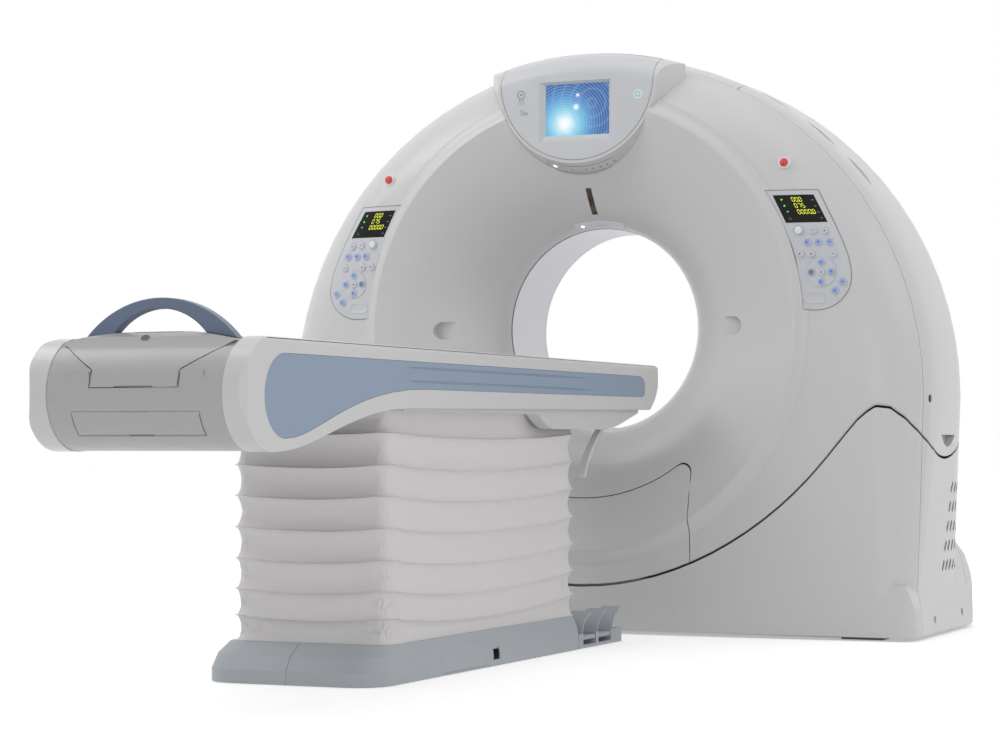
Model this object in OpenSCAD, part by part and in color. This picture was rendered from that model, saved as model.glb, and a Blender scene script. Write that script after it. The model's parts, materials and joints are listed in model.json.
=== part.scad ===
// CT scanner: a tilting ring gantry on a fixed base, with a height-adjustable patient couch.
// The origin is on the floor below the middle of the bore. +Y runs from the couch into the bore
// and +Z is up. "Left" is -X and "right" is +X, as seen by someone who faces the gantry.

/* [Gantry ring] */
// Height of the bore axis, which is also the tilt axis
iso_z = 1040; // [1000:1:1060]
// Diameter of the patient bore
bore_d = 700; // [680:1:720]
// Length of the straight bore liner
bore_len = 300; // [280:1:320]
// Radius of the outer rim of the ring covers
ring_r = 1180; // [1170:1:1190]
// Height of the centre of the outer rim
ring_z = 805; // [795:1:815]
// Half depth of the ring over its two crests
crest_y = 417; // [412:1:424]
// Radius of the crest round each funnel
crest_r = 764; // [750:1:775]
// Half depth of the flat band outside the crest
band_y = 392; // [388:1:396]
// Thickness of the plastic covers
wall = 5; // [4:0.5:6]
// Visible gap between neighbouring covers
seam = 3; // [2.5:0.5:5]
// Distance of the rim seams from the middle plane
rim_seam_y = 245; // [235:1:255]
// Gap between the tilting and the fixed covers
tilt_gap = 9; // [7:0.5:12]
// Half length of the cover at the top of the rim
top_cover_x = 522; // [500:1:540]

/* [Fixed base] */
// Clearance of the covers above the floor
floor_gap = 11; // [8:1:16]
// Half width of the foot at the floor
foot_x = 1155; // [1150:1:1165]
// Depth of the foot behind the bore's middle plane
foot_rear_y = 560; // [550:1:575]
// Half width of the flanks just above the foot
flank_x = 1128; // [1120:1:1135]
// Width of each side pillar
pillar_w = 100; // [90:1:110]
// Distance of each pillar's middle from the bore axis
pillar_x = 990; // [980:1:1000]
// Diameter of the trunnion pins that the ring tilts on
trunnion_d = 110; // [100:1:120]
// Diameter of the anchor bolt holes
anchor_d = 18; // [14:1:20]

/* [Controls] */
// Diameter of the keys on the control panels
key_d = 27; // [24:0.5:28]
// Height of the keys above the panel
key_h = 4; // [2:0.5:5]
// Diameter of the emergency stop buttons
stop_d = 30; // [26:1:34]
// Travel of the emergency stop buttons
stop_travel = 4; // [3:0.5:5]
// Diameter of the volume knobs
knob_d = 24; // [20:0.5:25]
// Width of the display's picture area
screen_w = 232; // [220:1:240]
// Height of the display's picture area
screen_h = 176; // [165:1:180]
// Height of the display's middle
screen_z = 1780; // [1775:1:1785]

/* [Couch] */
// Height of the couch's side covers
couch_top = 902; // [890:1:915]
// Half width of the couch over its side covers
couch_x = 305; // [300:1:312]
// Half width inside the side covers
inner_x = 246; // [240:1:250]
// Head end of the couch
head_y = -428; // [-440:1:-425]
// Middle of the round foot end
foot_y = -3110; // [-3130:1:-3090]
// Radius of the round foot end
foot_r = 140; // [136:1:144]
// Lower edge of the side covers at the lift
skirt_z = 736; // [730:1:742]
// Half width of the bellows over its ridges
bellows_x = 244; // [238:1:245]
// Foot end of the bellows
bellows_y0 = -2350; // [-2370:1:-2330]
// Head end of the bellows
bellows_y1 = -1005; // [-1020:1:-990]
// Depth of the folds of the bellows
fold_depth = 18; // [12:1:24]
// Height of the plinth
plinth_h = 104; // [98:1:110]
// Half width of the plinth at the floor
plinth_x = 269; // [265:1:280]
// Side of the lowest telescopic column tube
column_w = 200; // [190:1:210]
// Wall of the column tubes
column_t = 6; // [5:0.5:8]

/* [Hidden] */
$fn = 96;

// Colours
cover_colour = [0.88, 0.875, 0.86];
panel_colour = [0.80, 0.81, 0.84];
steel_colour = [0.45, 0.47, 0.50];
dark_colour = [0.10, 0.09, 0.08];
blue_colour = [0.49, 0.57, 0.68];
housing_colour = [0.70, 0.69, 0.67];
plinth_colour = [0.62, 0.65, 0.67];

// Shared clearances
seat = 0.3;        // between pieces that are seated on one another
fit = 0.5;         // round an inset piece
running = 0.05;    // radial clearance of a turning pin
rail_h = 15;       // guide rails of the tabletop

// Ring covers: the rim is a quarter ellipse between the middle band and the flat band
rim_flat_y = 140;
rim_a = 200;
rim_b = band_y - 7 - rim_flat_y;
lip_r = crest_r + 36;
ring_fn = 72;
bore_r = bore_d / 2;
bore_y = bore_len / 2;
post_r = 130;
post_y = 235;

// Structure inside the ring
plate_y0 = 55;
plate_y1 = 105;
plate_r = 880;
plate_bore_r = 440;
arm_x0 = plate_r - 30;
arm_x1 = pillar_x - pillar_w / 2 - 15;
arm_h = 150;
rotor_r = plate_r - 90;
rotor_in_r = bore_r + 15;
hub_r = rotor_in_r + 30;
rotor_y0 = -190;
// Distance of the x-ray tube and of the detector's inner face from the bore axis
tube_r = rotor_r - 175;
detector_r = rotor_r - 230;
boss_y = 300;
boss_at_r = plate_r - 17;
boss_r = 14;

// Tilt drive: a toothed sector on the left arm and a pinion below it
gear_m = 6;
sector_teeth = 160;
pinion_teeth = 20;
sector_r = gear_m * sector_teeth / 2;
pinion_r = gear_m * pinion_teeth / 2;
sector_x = -912;
sector_t = 24;
sector_half_angle = 37;
pinion_z = iso_z - sector_r - pinion_r;

// Controls on the ring: distances from the bore axis
panel_in_r = 797;
panel_out_r = 968;
panel_y = band_y - 2;
stop_x = 726;
stop_z = 1570;
stop_face_y = 372;

// Couch
side_top_r = 20;
table_gap = 4;
rail_top = skirt_z + 34;
frame_z0 = skirt_z + 6;
frame_z1 = rail_top - rail_h;
column_y = [-2000, -1350];
tube_step = column_t + seat;
stage_len = 250;
lift_down = 380;
lift_up = 50;
stage_rise = lift_down / 3;

function bez(a, b, c, d, n) =
    [for (i = [0 : n]) let (t = i / n, u = 1 - t)
        u*u*u * a + 3*u*u*t * b + 3*u*t*t * c + t*t*t * d];
function arc(c, r, a0, a1, n) =
    [for (i = [0 : n]) let (a = a0 + (a1 - a0) * i / n) c + r * [cos(a), sin(a)]];
// A line of points moved sideways by d, to the right of its direction
function beside(p, d) =
    [for (i = [0 : len(p) - 1])
        let (a = p[max(i - 1, 0)], b = p[min(i + 1, len(p) - 1)], t = (b - a) / norm(b - a))
        p[i] + d * [t[1], -t[0]]];
function flip(p) = [for (i = [len(p) - 1 : -1 : 0]) [-p[i][0], p[i][1]]];

// 2D outlines in X and Z, extruded from y0 to y1
module along_y(y0, y1) {
    translate([0, y1, 0]) rotate([90, 0, 0]) linear_extrude(y1 - y0) children();
}
// 2D outlines in Y and Z, extruded from x0 to x1
module along_x(x0, x1) {
    translate([x0, 0, 0]) rotate([90, 0, 90]) linear_extrude(x1 - x0) children();
}
// A body of revolution about the bore axis: outline of radius and Y
module about_bore(z = iso_z, a = 360, n = $fn) {
    translate([0, 0, z]) rotate([-90, 0, 0]) rotate_extrude(angle = a, $fn = n) children();
}
// A block given by its two corners
module block(lo, hi) {
    translate(lo) cube(hi - lo);
}
module both_sides() {
    children();
    mirror([1, 0, 0]) children();
}

// ---- Shapes that the covers share ----

// Radius and half depth of the rim at angle a, moved inwards by o
function rim(a, o) = [ring_r - o - (rim_a - o) * (1 - cos(a)), rim_flat_y + (rim_b - o) * sin(a)];

// The corner posts that carry the flanks down to the floor
module flank_posts(o) {
    for (x = [-1, 1], y = [-1, 1])
        translate([x * (flank_x - post_r), y * post_y, 0])
            cylinder(r = post_r - o, h = 200, $fn = 32);
}

// Convex form of the ring, moved inwards by o. end is -1 for the front half, 1 for the rear.
// The rim goes on round the other edge up to the angle far.
module ring_end_form(o, end, far = 0) {
    hull() {
        mirror([0, end < 0 ? 1 : 0, 0]) {
            about_bore(ring_z, 360, ring_fn)
                polygon(concat([[0, -rim(far, o)[1]]],
                    [for (a = [far : -15 : 0]) [rim(a, o)[0], -rim(a, o)[1]]],
                    [for (a = [0 : 15 : 90]) rim(a, o)], [[0, rim(90, o)[1]]]));
            about_bore(iso_z, 360, ring_fn)
                translate([0, band_y - o - 4]) square([lip_r - o, 4]);
        }
        flank_posts(o);
    }
}
module ring_middle_form(o) {
    hull() {
        about_bore(ring_z, 360, ring_fn) polygon(concat(
            [[0, -rim(30, o)[1]]], [for (a = [30, 15, 0]) [rim(a, o)[0], -rim(a, o)[1]]],
            [for (a = [0, 15, 30]) rim(a, o)], [[0, rim(30, o)[1]]]));
        flank_posts(o);
    }
}

// Half outline of the funnel, from the bore to the crest: radius and half depth
funnel = bez([bore_r, bore_y], [bore_r + 2, bore_y + 100],
             [crest_r - 204, crest_y - 52], [crest_r, crest_y], 14);

// The open space of one funnel, made wider by o
module funnel_space(o, end) {
    line = beside(funnel, o);
    last = line[len(line) - 1];
    slope = (last - line[len(line) - 2]) * 3;
    mirror([0, end < 0 ? 1 : 0, 0])
        about_bore() polygon(concat([[0, 0], [line[0][0], 0]], line,
                                    [last + slope, [0, (last + slope)[1]]]));
}
// The raised crest round one funnel, moved inwards by o
module crest(o, end) {
    top = crest_y - o;
    mirror([0, end < 0 ? 1 : 0, 0])
        about_bore() polygon(concat([[crest_r - 170, band_y - 60], [crest_r - 170, top]],
            bez([crest_r - 6, top], [crest_r + 16, top], [crest_r + 22, band_y + 1 - o],
                [crest_r + 50 - o, band_y + 0.6 - o], 6),
            [[crest_r + 50 - o, band_y - 60]]));
}
// Solid form of one end of the ring with its crest and funnel
module ring_end_solid(o, end) {
    difference() {
        union() {
            ring_end_form(o, end);
            crest(o, end);
        }
        funnel_space(o, end);
    }
}

// Radius of the joint between the tilting and the fixed covers, for each distance from the middle
joint_line = concat(
    bez([0, iso_z - 77], [340, iso_z - 77], [640, 800], [860, 598], 14),
    bez([860, 598], [960, 508], [1020, 450], [1110, 446], 7),
    [[1300, 446]]);
module joint_form(g) {
    right = [for (p = joint_line) [p[1] + g, p[0]]];
    left = [for (i = [len(right) - 1 : -1 : 1]) [right[i][0], -right[i][1]]];
    translate([0, 0, iso_z]) rotate([0, 90, 0]) rotate_extrude()
        polygon(concat([[0, -1300]], left, right, [[0, 1300]]));
}
// Everything below the tilt axis and outside the joint, where the fixed covers are
module fixed_zone(g) {
    difference() {
        block([-1299, -700, -600], [1299, 700, iso_z]);
        joint_form(g);
    }
}

// Feet of the fixed covers, moved inwards by o: outlines from the front, the side and above
foot_corner = 60;
module side_foot(o) {
    intersection() {
        along_y(-400, 430) polygon([[620, 0], [foot_x - o, 0], [foot_x - 8 - o, 110],
            [foot_x - 18 - o, 150], [foot_x - 37 - o, 180 - o], [1010, 180 - o], [820, 112 - o]]);
        along_x(600, 1200)
            polygon([[-366 + o, 0], [440, 0], [440, 200], [-340 + o, 200], [-362 + o, 110]]);
        linear_extrude(200) polygon(concat([[600, 440], [600, -366 + o]],
            arc([foot_x - foot_corner, foot_corner - 366], foot_corner - o, -90, 0, 10),
            [[foot_x - o, 440]]));
    }
}
module rear_foot(o) {
    x = foot_x - 16;
    y = foot_rear_y;
    corner = arc([x - foot_corner, y - foot_corner], foot_corner - o, 0, 90, 10);
    side = [[x - o, 0], [x - 8 - o, 150], [x - 30 - o, 250], [x - 54 - o, 296 - o]];
    intersection() {
        along_y(250, 600) polygon(concat(flip(side), side));
        along_x(-1200, 1200) polygon([[250, 0], [y - o, 0], [y - 10 - o, 130], [y - 26 - o, 205],
            [y - 48 - o, 252], [y - 85 - o, 296 - o], [250, 296 - o]]);
        linear_extrude(300) polygon(concat([[x - o, 250]], corner, flip(corner), [[o - x, 250]]));
    }
}

// ---- Ring covers, which tilt ----

// Outline of the control panel on the right: two arcs about the bore, cut off at top and bottom
module panel_outline(o) {
    side = concat(bez([834, 1486], [876, 1400], [956, 1270], [957, 1188], 8),
                  bez([957, 1188], [958, 1124], [906, 1078], [841, 1077], 8), [[780, 1081]]);
    intersection() {
        difference() {
            polygon(concat(beside(side, o), [[600, 1081 + o], [600, 1486]]));
            translate([0, iso_z]) circle(r = panel_in_r + o, $fn = 180);
        }
        translate([600, 1000]) square([500, 478 - o]);
    }
}
// Window of the position readout
module readout_outline(o) {
    polygon([[692 + o, 1460 - o], [824 - o * 0.5, 1460 - o], [874 - o, 1368 + o],
             [738 + o * 0.5, 1368 + o]]);
}
// Keys of the panel on the right: knob, then rows, the direction pad and the lower pair
knob_at = [781, 1342];
pad_at = [857, 1203];
pad_r = 49;
key_rows = [[829, 1341], [866, 1339],
            [810, 1302], [846, 1302], [883, 1302],
            [787, 1264], [823, 1263], [896, 1262],
            pad_at, pad_at + [0, 32], pad_at - [0, 32], pad_at + [33, 0], pad_at - [33, 0],
            [927, 1170], [903, 1141]];
module keys_outline(o) {
    for (k = key_rows) translate(k) circle(d = key_d + 2 * o);
}
// Pull-down covers of the service door below the bore
service_r = 585;
service_x = 399;
service_corner = 34;
module service_outline(o) {
    r = service_r + o;
    x = service_x - o;
    c = service_corner;
    cx = x - c;
    a = asin(cx / (r + c));
    cz = iso_z - (r + c) * cos(a);
    right = concat(arc([0, iso_z], r, -90, -90 + a, 10), arc([cx, cz], c, 90 + a, 0, 8), [[x, -50]]);
    polygon(concat(flip(right), right));
}
// Frustum of the display housing, made larger by o
display_out_r = 356;
display_in_r = 290;
display_y = band_y + 19;
module display_form(o) {
    hull() {
        translate([0, -300, screen_z + 130]) rotate([90, 0, 0])
            cylinder(r = display_out_r + o, h = 1, $fn = 64);
        translate([0, -display_y, screen_z + 106]) rotate([90, 0, 0])
            cylinder(r = display_in_r + o, h = 1, $fn = 64);
    }
}
// Flat front of the display housing, which rolls over to the top of the rim
module display_roll(o) {
    about_bore(ring_z, 360, 200) polygon(concat([[0, -display_y + o]],
        [for (a = [90 : -10 : 0])
            [ring_r + 1 - o - 84 * (1 - cos(a)), -display_y + o + 150 * (1 - sin(a))]],
        [[ring_r + 1 - o, -rim_seam_y - seam / 2], [0, -rim_seam_y - seam / 2]]));
}
// Outline of the face of the display
module face_outline(o) {
    translate([0, screen_z + 106]) {
        circle(r = display_in_r - 9 + o);
        translate([-display_in_r + 9 - o, 0]) square([2 * (display_in_r - 9 + o), 200]);
    }
}
// Oval hand recesses at both sides of the bore
recess_at = [507, 1035];
module recess_outline(o) {
    both_sides() for (s = [-1, 1])
        translate([recess_at[0] + s * 29, recess_at[1]]) circle(r = 31 + o);
    both_sides() translate([recess_at[0] - 29, recess_at[1] - 31 - o])
        square([58, 62 + 2 * o]);
}
// Slot of the positioning laser above the bore
slot_r0 = 394;
slot_r1 = 479;
module laser_outline(o) {
    translate([-10 - o, iso_z + slot_r0 - o])
        square([20 + 2 * o, slot_r1 - slot_r0 + 2 * o]);
}
module boss_places(radius) {
    for (a = [45, 135, 225, 315])
        translate([boss_at_r * cos(a), iso_z + boss_at_r * sin(a)]) circle(r = radius);
}

// Space that the front or rear cover leaves to the others: the rim seam, then the bore
module beyond_seam(end) {
    mirror([0, end < 0 ? 1 : 0, 0]) {
        difference() {
            block([-1300, -700, -600], [1300, rim_seam_y + seam / 2, 2100]);
            about_bore() translate([0, -800]) square([600, 1600]);
        }
        about_bore() translate([0, -700]) square([602, 700 + bore_y]);
    }
}

module front_cover() {
    color(cover_colour) difference() {
        ring_end_solid(0, -1);
        difference() {
            ring_end_solid(wall, -1);
            along_y(-band_y, -boss_y) boss_places(boss_r + 8);
            along_y(-crest_y, -310 + wall) recess_outline(wall);
        }
        along_y(-crest_y - 20, -310) recess_outline(0);
        along_y(-crest_y - 20, -200) {
            service_outline(-seam / 2);
            both_sides() panel_outline(-fit);
            laser_outline(fit);
            both_sides() translate([stop_x, stop_z]) circle(d = stop_d + 10 + 2 * seat);
        }
        display_form(fit);
        translate([0, -display_y + 1, screen_z + 106]) rotate([90, 0, 0])
            cylinder(r = display_in_r + fit, h = 60, $fn = 64);
        fixed_zone(-tilt_gap / 2);
        beyond_seam(-1);
    }
}
module service_cover() {
    color(cover_colour) difference() {
        ring_end_solid(0, -1);
        ring_end_solid(wall, -1);
        along_y(-crest_y - 20, 300) difference() {
            translate([-1400, -700]) square([2800, 2900]);
            service_outline(seam / 2);
            // Clips that meet the edge of the front cover
            both_sides() translate([service_x - 10, 478]) square([10 + seam / 2 - seat, 36]);
        }
        fixed_zone(-tilt_gap / 2);
        block([-1300, -rim_seam_y, -600], [1300, 700, 2100]);
    }
}
module rear_cover() {
    color(cover_colour) difference() {
        ring_end_solid(0, 1);
        difference() {
            ring_end_solid(wall, 1);
            along_y(boss_y, band_y) boss_places(boss_r + 8);
        }
        fixed_zone(-tilt_gap / 2);
        beyond_seam(1);
    }
}
// The shell of the middle band between both rim seams
module middle_band() {
    difference() {
        ring_middle_form(0);
        ring_middle_form(wall);
        fixed_zone(-tilt_gap / 2);
        for (s = [-1, 1]) translate([-1300, s * (rim_seam_y - seam / 2 + 200) - 200, -600])
            cube([2600, 400, 2800]);
    }
}
// Leaf-shaped air vents on the shoulders of the ring
module leaf(len, w) {
    r = (len * len / 4 + w * w / 4) / w;
    intersection() {
        translate([r - w / 2, 0]) circle(r = r, $fn = 96);
        translate([w / 2 - r, 0]) circle(r = r, $fn = 96);
    }
}
leaf_angles = [58.5, 49, 40];
leaf_len = [150, 150, 140];
leaf_y = [-100, -100, -85];
// Leaf outlines of all vents, made larger by o, cut from the depth d outwards
module leaf_cuts(o, d, h) {
    for (i = [0 : 2])
        translate([0, leaf_y[i], ring_z]) rotate([0, 90 - leaf_angles[i], 0])
            translate([0, 0, ring_r - d]) linear_extrude(h)
                rotate(90) leaf(leaf_len[i] + 2 * o, 50 + 2 * o);
}
// Grip pocket at the lower edge of the side cover: outline in Y and Z, made larger by o
module grip_outline(o) {
    translate([27, 670]) intersection() {
        translate([0, 80]) circle(r = 120 + o);
        translate([-200, -200]) square([400, 200 + o]);
    }
}
module side_cover() {
    color(cover_colour) difference() {
        union() {
            intersection() {
                middle_band();
                block([top_cover_x + seam / 2, -300, 0], [1300, 300, 2100]);
            }
            intersection() {
                union() {
                    leaf_cuts(7, 26, 40);
                    along_x(1138, 1300) grip_outline(6);
                }
                ring_middle_form(1);
            }
        }
        leaf_cuts(0, 14, 60);
        translate([1100, -205, 789]) rotate([0, 90, 0]) cylinder(d = 26, h = 200);
        along_x(1145, 1300) grip_outline(0);
    }
}
module side_cover_right() { side_cover(); }
module side_cover_left() { mirror([1, 0, 0]) side_cover(); }
module top_cover() {
    color(cover_colour) intersection() {
        middle_band();
        block([-top_cover_x + seam / 2, -300, ring_z], [top_cover_x - seam / 2, 300, 2100]);
    }
}
module bore_liner() {
    color([0.93, 0.93, 0.92])
        about_bore() translate([bore_r, -bore_y + seat]) square([3, bore_len - 2 * seat]);
}
module laser_window() {
    color([0.25, 0.13, 0.08]) intersection() {
        along_y(-crest_y, -200) laser_outline(0);
        difference() {
            funnel_space(wall, -1);
            funnel_space(2, -1);
        }
    }
}
module light_strips() {
    color([0.95, 0.96, 0.97]) intersection() {
        difference() {
            funnel_space(0, -1);
            funnel_space(-2, -1);
        }
        translate([0, 0, iso_z]) rotate([-90, 0, 0]) rotate([0, 0, 256])
            rotate_extrude(angle = 29) translate([bore_r, -208]) square([40, 22]);
    }
}

// ---- Display ----

module display_housing() {
    color(cover_colour) difference() {
        intersection() {
            display_form(0);
            display_roll(0);
        }
        intersection() {
            display_form(-wall);
            display_roll(wall);
        }
        along_y(-500, 0) face_outline(0);
    }
}
module screen_outline(o) {
    translate([-screen_w / 2 - o, screen_z - screen_h / 2 - o])
        square([screen_w + 2 * o, screen_h + 2 * o]);
}
module display_panel() {
    y = display_y + 1;
    color(panel_colour) difference() {
        union() {
            difference() {
                intersection() {
                    display_form(-1);
                    display_roll(0);
                    along_y(-500, -260) face_outline(-fit);
                }
                intersection() {
                    display_form(10);
                    display_roll(wall);
                }
            }
            along_y(-display_y, -display_y + 16) screen_outline(32);
        }
        along_y(-500, -260) screen_outline(0);
        // Bevel round the screen, widest below
        hull() {
            along_y(-display_y + 10, -display_y + 11) screen_outline(0);
            along_y(-y, -display_y) polygon([
                [-screen_w / 2 - 22, screen_z - screen_h / 2 - 26],
                [screen_w / 2 + 14, screen_z - screen_h / 2 - 26],
                [screen_w / 2 + 12, screen_z + screen_h / 2 + 9],
                [-screen_w / 2 - 20, screen_z + screen_h / 2 + 9]]);
        }
    }
}
module display_screen() {
    color([0.35, 0.6, 0.85]) along_y(-display_y + 10, -display_y + 16) screen_outline(-fit);
}

// ---- Control panels ----

// A thin skin of the front of the ring between the depths a and b
module front_skin(a, b) {
    difference() {
        ring_end_form(a, -1);
        ring_end_form(b, -1);
    }
}
module control_panels() {
    color(panel_colour) difference() {
        union() {
            intersection() {
                front_skin(-1, 4);
                along_y(-500, -260) both_sides() difference() {
                    panel_outline(0);
                    readout_outline(-fit);
                }
            }
            intersection() {
                front_skin(-2.5, 2);
                along_y(-500, -260) both_sides() translate(pad_at) circle(r = pad_r);
            }
        }
        along_y(-500, -260) both_sides() {
            keys_outline(fit);
            translate(knob_at) circle(d = 8 + 2 * running);
        }
    }
}
module readout_windows() {
    color(dark_colour) intersection() {
        front_skin(-1.5, 4);
        along_y(-500, -260) both_sides() readout_outline(0);
    }
}
// Each keypad is one silicone moulding: its keys stand up through the panel from a thin mat
module keypads() {
    color([0.62, 0.70, 0.86]) intersection() {
        front_skin(-1 - key_h, 6);
        along_y(-500, -260) both_sides() keys_outline(0);
    }
    color([0.62, 0.70, 0.86]) intersection() {
        front_skin(4.2, 6);
        along_y(-500, -260) both_sides() difference() {
            polygon([[764, 1360], [884, 1360], [912, 1290], [934, 1230], [946, 1190], [944, 1156],
                     [916, 1122], [884, 1128], [858, 1152], [800, 1160], [783, 1230], [766, 1270]]);
            translate(knob_at) circle(r = 6);
        }
    }
}
module stop_collars() {
    color([0.93, 0.93, 0.92]) both_sides() translate([stop_x, 0, stop_z])
        about_bore(0) difference() {
            translate([stop_d / 2 - 8, -stop_face_y - 5]) square([13, 30]);
            translate([stop_d / 2 - 9, -stop_face_y - 6]) square([8 + seat, 26]);
        }
}
module stop_button() {
    color([0.85, 0.16, 0.14]) translate([stop_x, 0, stop_z]) about_bore(0)
        polygon(concat([[0, -stop_face_y + 14]], [[stop_d / 2 - 9, -stop_face_y + 14]],
            [[stop_d / 2 - 9, -stop_face_y], [stop_d / 2 - 1, -stop_face_y]],
            bez([stop_d / 2 - 1, -stop_face_y - 6], [stop_d / 2 - 1, -stop_face_y - 11],
                [6, -stop_face_y - 13], [0, -stop_face_y - 13], 6)));
}
module stop_button_right() { stop_button(); }
module stop_button_left() { mirror([1, 0, 0]) stop_button(); }
module volume_knob() {
    color([0.90, 0.90, 0.91]) translate([knob_at[0], 0, knob_at[1]]) about_bore(0)
        polygon([[0, -panel_y - 12], [knob_d / 2 - 2, -panel_y - 12], [knob_d / 2, -panel_y - 10],
                 [knob_d / 2, -panel_y - 2.5], [4, -panel_y - 2.5], [4, -panel_y + 14],
                 [0, -panel_y + 14]]);
}
module volume_knob_right() { volume_knob(); }
module volume_knob_left() { mirror([1, 0, 0]) volume_knob(); }

// ---- Structure and drives of the ring ----

module on_x_axis(x0, x1, r) {
    translate([x0, 0, iso_z]) rotate([0, 90, 0]) cylinder(r = r, h = x1 - x0);
}
// Landing rib under each rim seam, with the gussets that carry it
module rim_rib(end) {
    a = rim(15, wall + 1.6);
    b = rim(30, wall + 1.6);
    translate([0, 0, ring_z]) rotate([-90, 0, 0])
        rotate_extrude() polygon([[a[0], end * a[1]], [b[0], end * b[1]],
                                  [b[0] - 14, end * b[1]], [b[0] - 14, end * a[1]]]);
}
module tilt_frame() {
    color(steel_colour) {
        difference() {
            union() {
                about_bore() translate([plate_bore_r, plate_y0])
                    square([plate_r - plate_bore_r, plate_y1 - plate_y0]);
                both_sides() {
                    block([arm_x0, -plate_y1, iso_z - arm_h], [arm_x1, plate_y1, iso_z + arm_h]);
                    on_x_axis(arm_x1 - 5, pillar_x + pillar_w / 2 + 5, trunnion_d / 2);
                }
                along_y(-boss_y, plate_y0 + 5) boss_places(boss_r);
                along_y(plate_y1 - 5, boss_y) boss_places(boss_r);
                difference() {
                    union() {
                        rim_rib(-1);
                        rim_rib(1);
                    }
                    block([-1300, -400, -600], [1300, 400, 765]);
                }
                intersection() {
                    for (a = [25, 60, 90, 120, 155])
                        translate([0, 0, iso_z]) rotate([0, -a, 0])
                            block([plate_r - 10, -250, -6], [1400, 250, 6]);
                    translate([0, -250, ring_z]) rotate([-90, 0, 0])
                        cylinder(r = rim(30, wall)[0] - 8, h = 500);
                }
            }
            for (a = [0 : 30 : 330])
                translate([0, 0, iso_z]) rotate([0, -a - 15, 0])
                    translate([(plate_bore_r + plate_r) / 2 - 20, 0, 0])
                    rotate([-90, 0, 0]) cylinder(r = 90, h = 300);
        }
    }
}
// One gear outline with trapezoid teeth; the first tooth points along +X of the outline
function gear_points(teeth, phase) =
    let (p = 360 / teeth, rp = gear_m * teeth / 2, ro = rp + 0.8 * gear_m, ri = rp - 1.1 * gear_m)
    [for (i = [0 : teeth - 1], q = [[-0.29, ri], [-0.11, ro], [0.11, ro], [0.29, ri]])
        let (a = phase + (i + q[0]) * p) q[1] * [cos(a), sin(a)]];
module tilt_sector() {
    inner = sector_r - 40;
    color(steel_colour) translate([0, 0, iso_z]) along_x(sector_x, sector_x + sector_t)
        intersection() {
            polygon(gear_points(sector_teeth, -90));
            difference() {
                polygon([[-60, -arm_h], [60, -arm_h],
                         [600 * tan(sector_half_angle), -600],
                         [-600 * tan(sector_half_angle), -600]]);
                intersection() {
                    circle(r = inner);
                    polygon([[18, -arm_h - 60], [180, -600], [18, -600]]);
                }
                intersection() {
                    circle(r = inner);
                    polygon([[-18, -arm_h - 60], [-180, -600], [-18, -600]]);
                }
            }
        }
}
pinion_shaft_r = 16;
drive_x0 = sector_x + sector_t + 4;
drive_x1 = drive_x0 + 90;
module pinion_shaft(r) {
    translate([sector_x - 2, 0, pinion_z]) rotate([0, 90, 0]) cylinder(r = r, h = 90);
}
module tilt_pinion() {
    color(steel_colour) {
        translate([0, 0, pinion_z]) along_x(sector_x - 2, sector_x + sector_t + 2)
            polygon(gear_points(pinion_teeth, 90 + 180 / pinion_teeth));
        pinion_shaft(pinion_shaft_r);
    }
}
// Right-angle gear motor that stands on the left base rail
module tilt_drive() {
    color([0.30, 0.33, 0.36]) difference() {
        union() {
            block([drive_x0, -55, pinion_z - 60], [drive_x1, 55, pinion_z + 50]);
            block([-pillar_x + pillar_w / 2 + seat, -62, base_rail_h],
                  [drive_x1, 62, base_rail_h + 14]);
            for (s = [-1, 1])
                block([drive_x0, s * 57 - 5, base_rail_h], [drive_x1, s * 57 + 5, pinion_z - 50]);
            translate([(drive_x0 + drive_x1) / 2, 0, 120]) cylinder(r = 36, h = pinion_z - 170);
            for (i = [0 : 11])
                translate([(drive_x0 + drive_x1) / 2, 0, 140 + 22 * i]) cylinder(r = 43, h = 8);
        }
        pinion_shaft(pinion_shaft_r + running);
    }
}
module trunnion_bearings() {
    color([0.62, 0.64, 0.66]) both_sides() difference() {
        on_x_axis(pillar_x - pillar_w / 2, pillar_x + pillar_w / 2, trunnion_d / 2 + 30);
        on_x_axis(pillar_x - pillar_w, pillar_x + pillar_w, trunnion_d / 2 + running);
    }
}
base_pad_y0 = -320;
base_pad_y1 = 500;
base_rail_h = 90;
module gantry_base_frame() {
    x0 = pillar_x - pillar_w / 2;
    x1 = pillar_x + pillar_w / 2;
    color([0.36, 0.38, 0.41]) difference() {
        union() {
            both_sides() {
                along_x(x0, x1) polygon(concat([[180, 60], [120, iso_z - 60]],
                    arc([0, iso_z], 120, 0, 180, 16), [[-120, iso_z - 60], [-180, 60]]));
                block([x0 - 40, -250, 0], [x1, 430, base_rail_h]);
                block([x0 - 40, base_pad_y0, 0], [x1, base_pad_y1, 20]);
            }
            block([-x0, -90, 0], [x0, 90, 60]);
            block([-x0, 340, 0], [x0, 400, 60]);
            block([-x0, -250, 0], [x0, -200, 60]);
        }
        both_sides() {
            on_x_axis(x0 - 1, x1 + 1, trunnion_d / 2 + 30);
            for (y = [base_pad_y0 + 35, base_pad_y1 - 35])
                translate([pillar_x - 20, y, -1]) cylinder(d = anchor_d, h = 40);
            along_x(x0 + 12, x1 - 12) polygon([[150, 110], [95, iso_z - 160],
                                               [-95, iso_z - 160], [-150, 110]]);
        }
    }
}

// ---- Rotor ----

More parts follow.
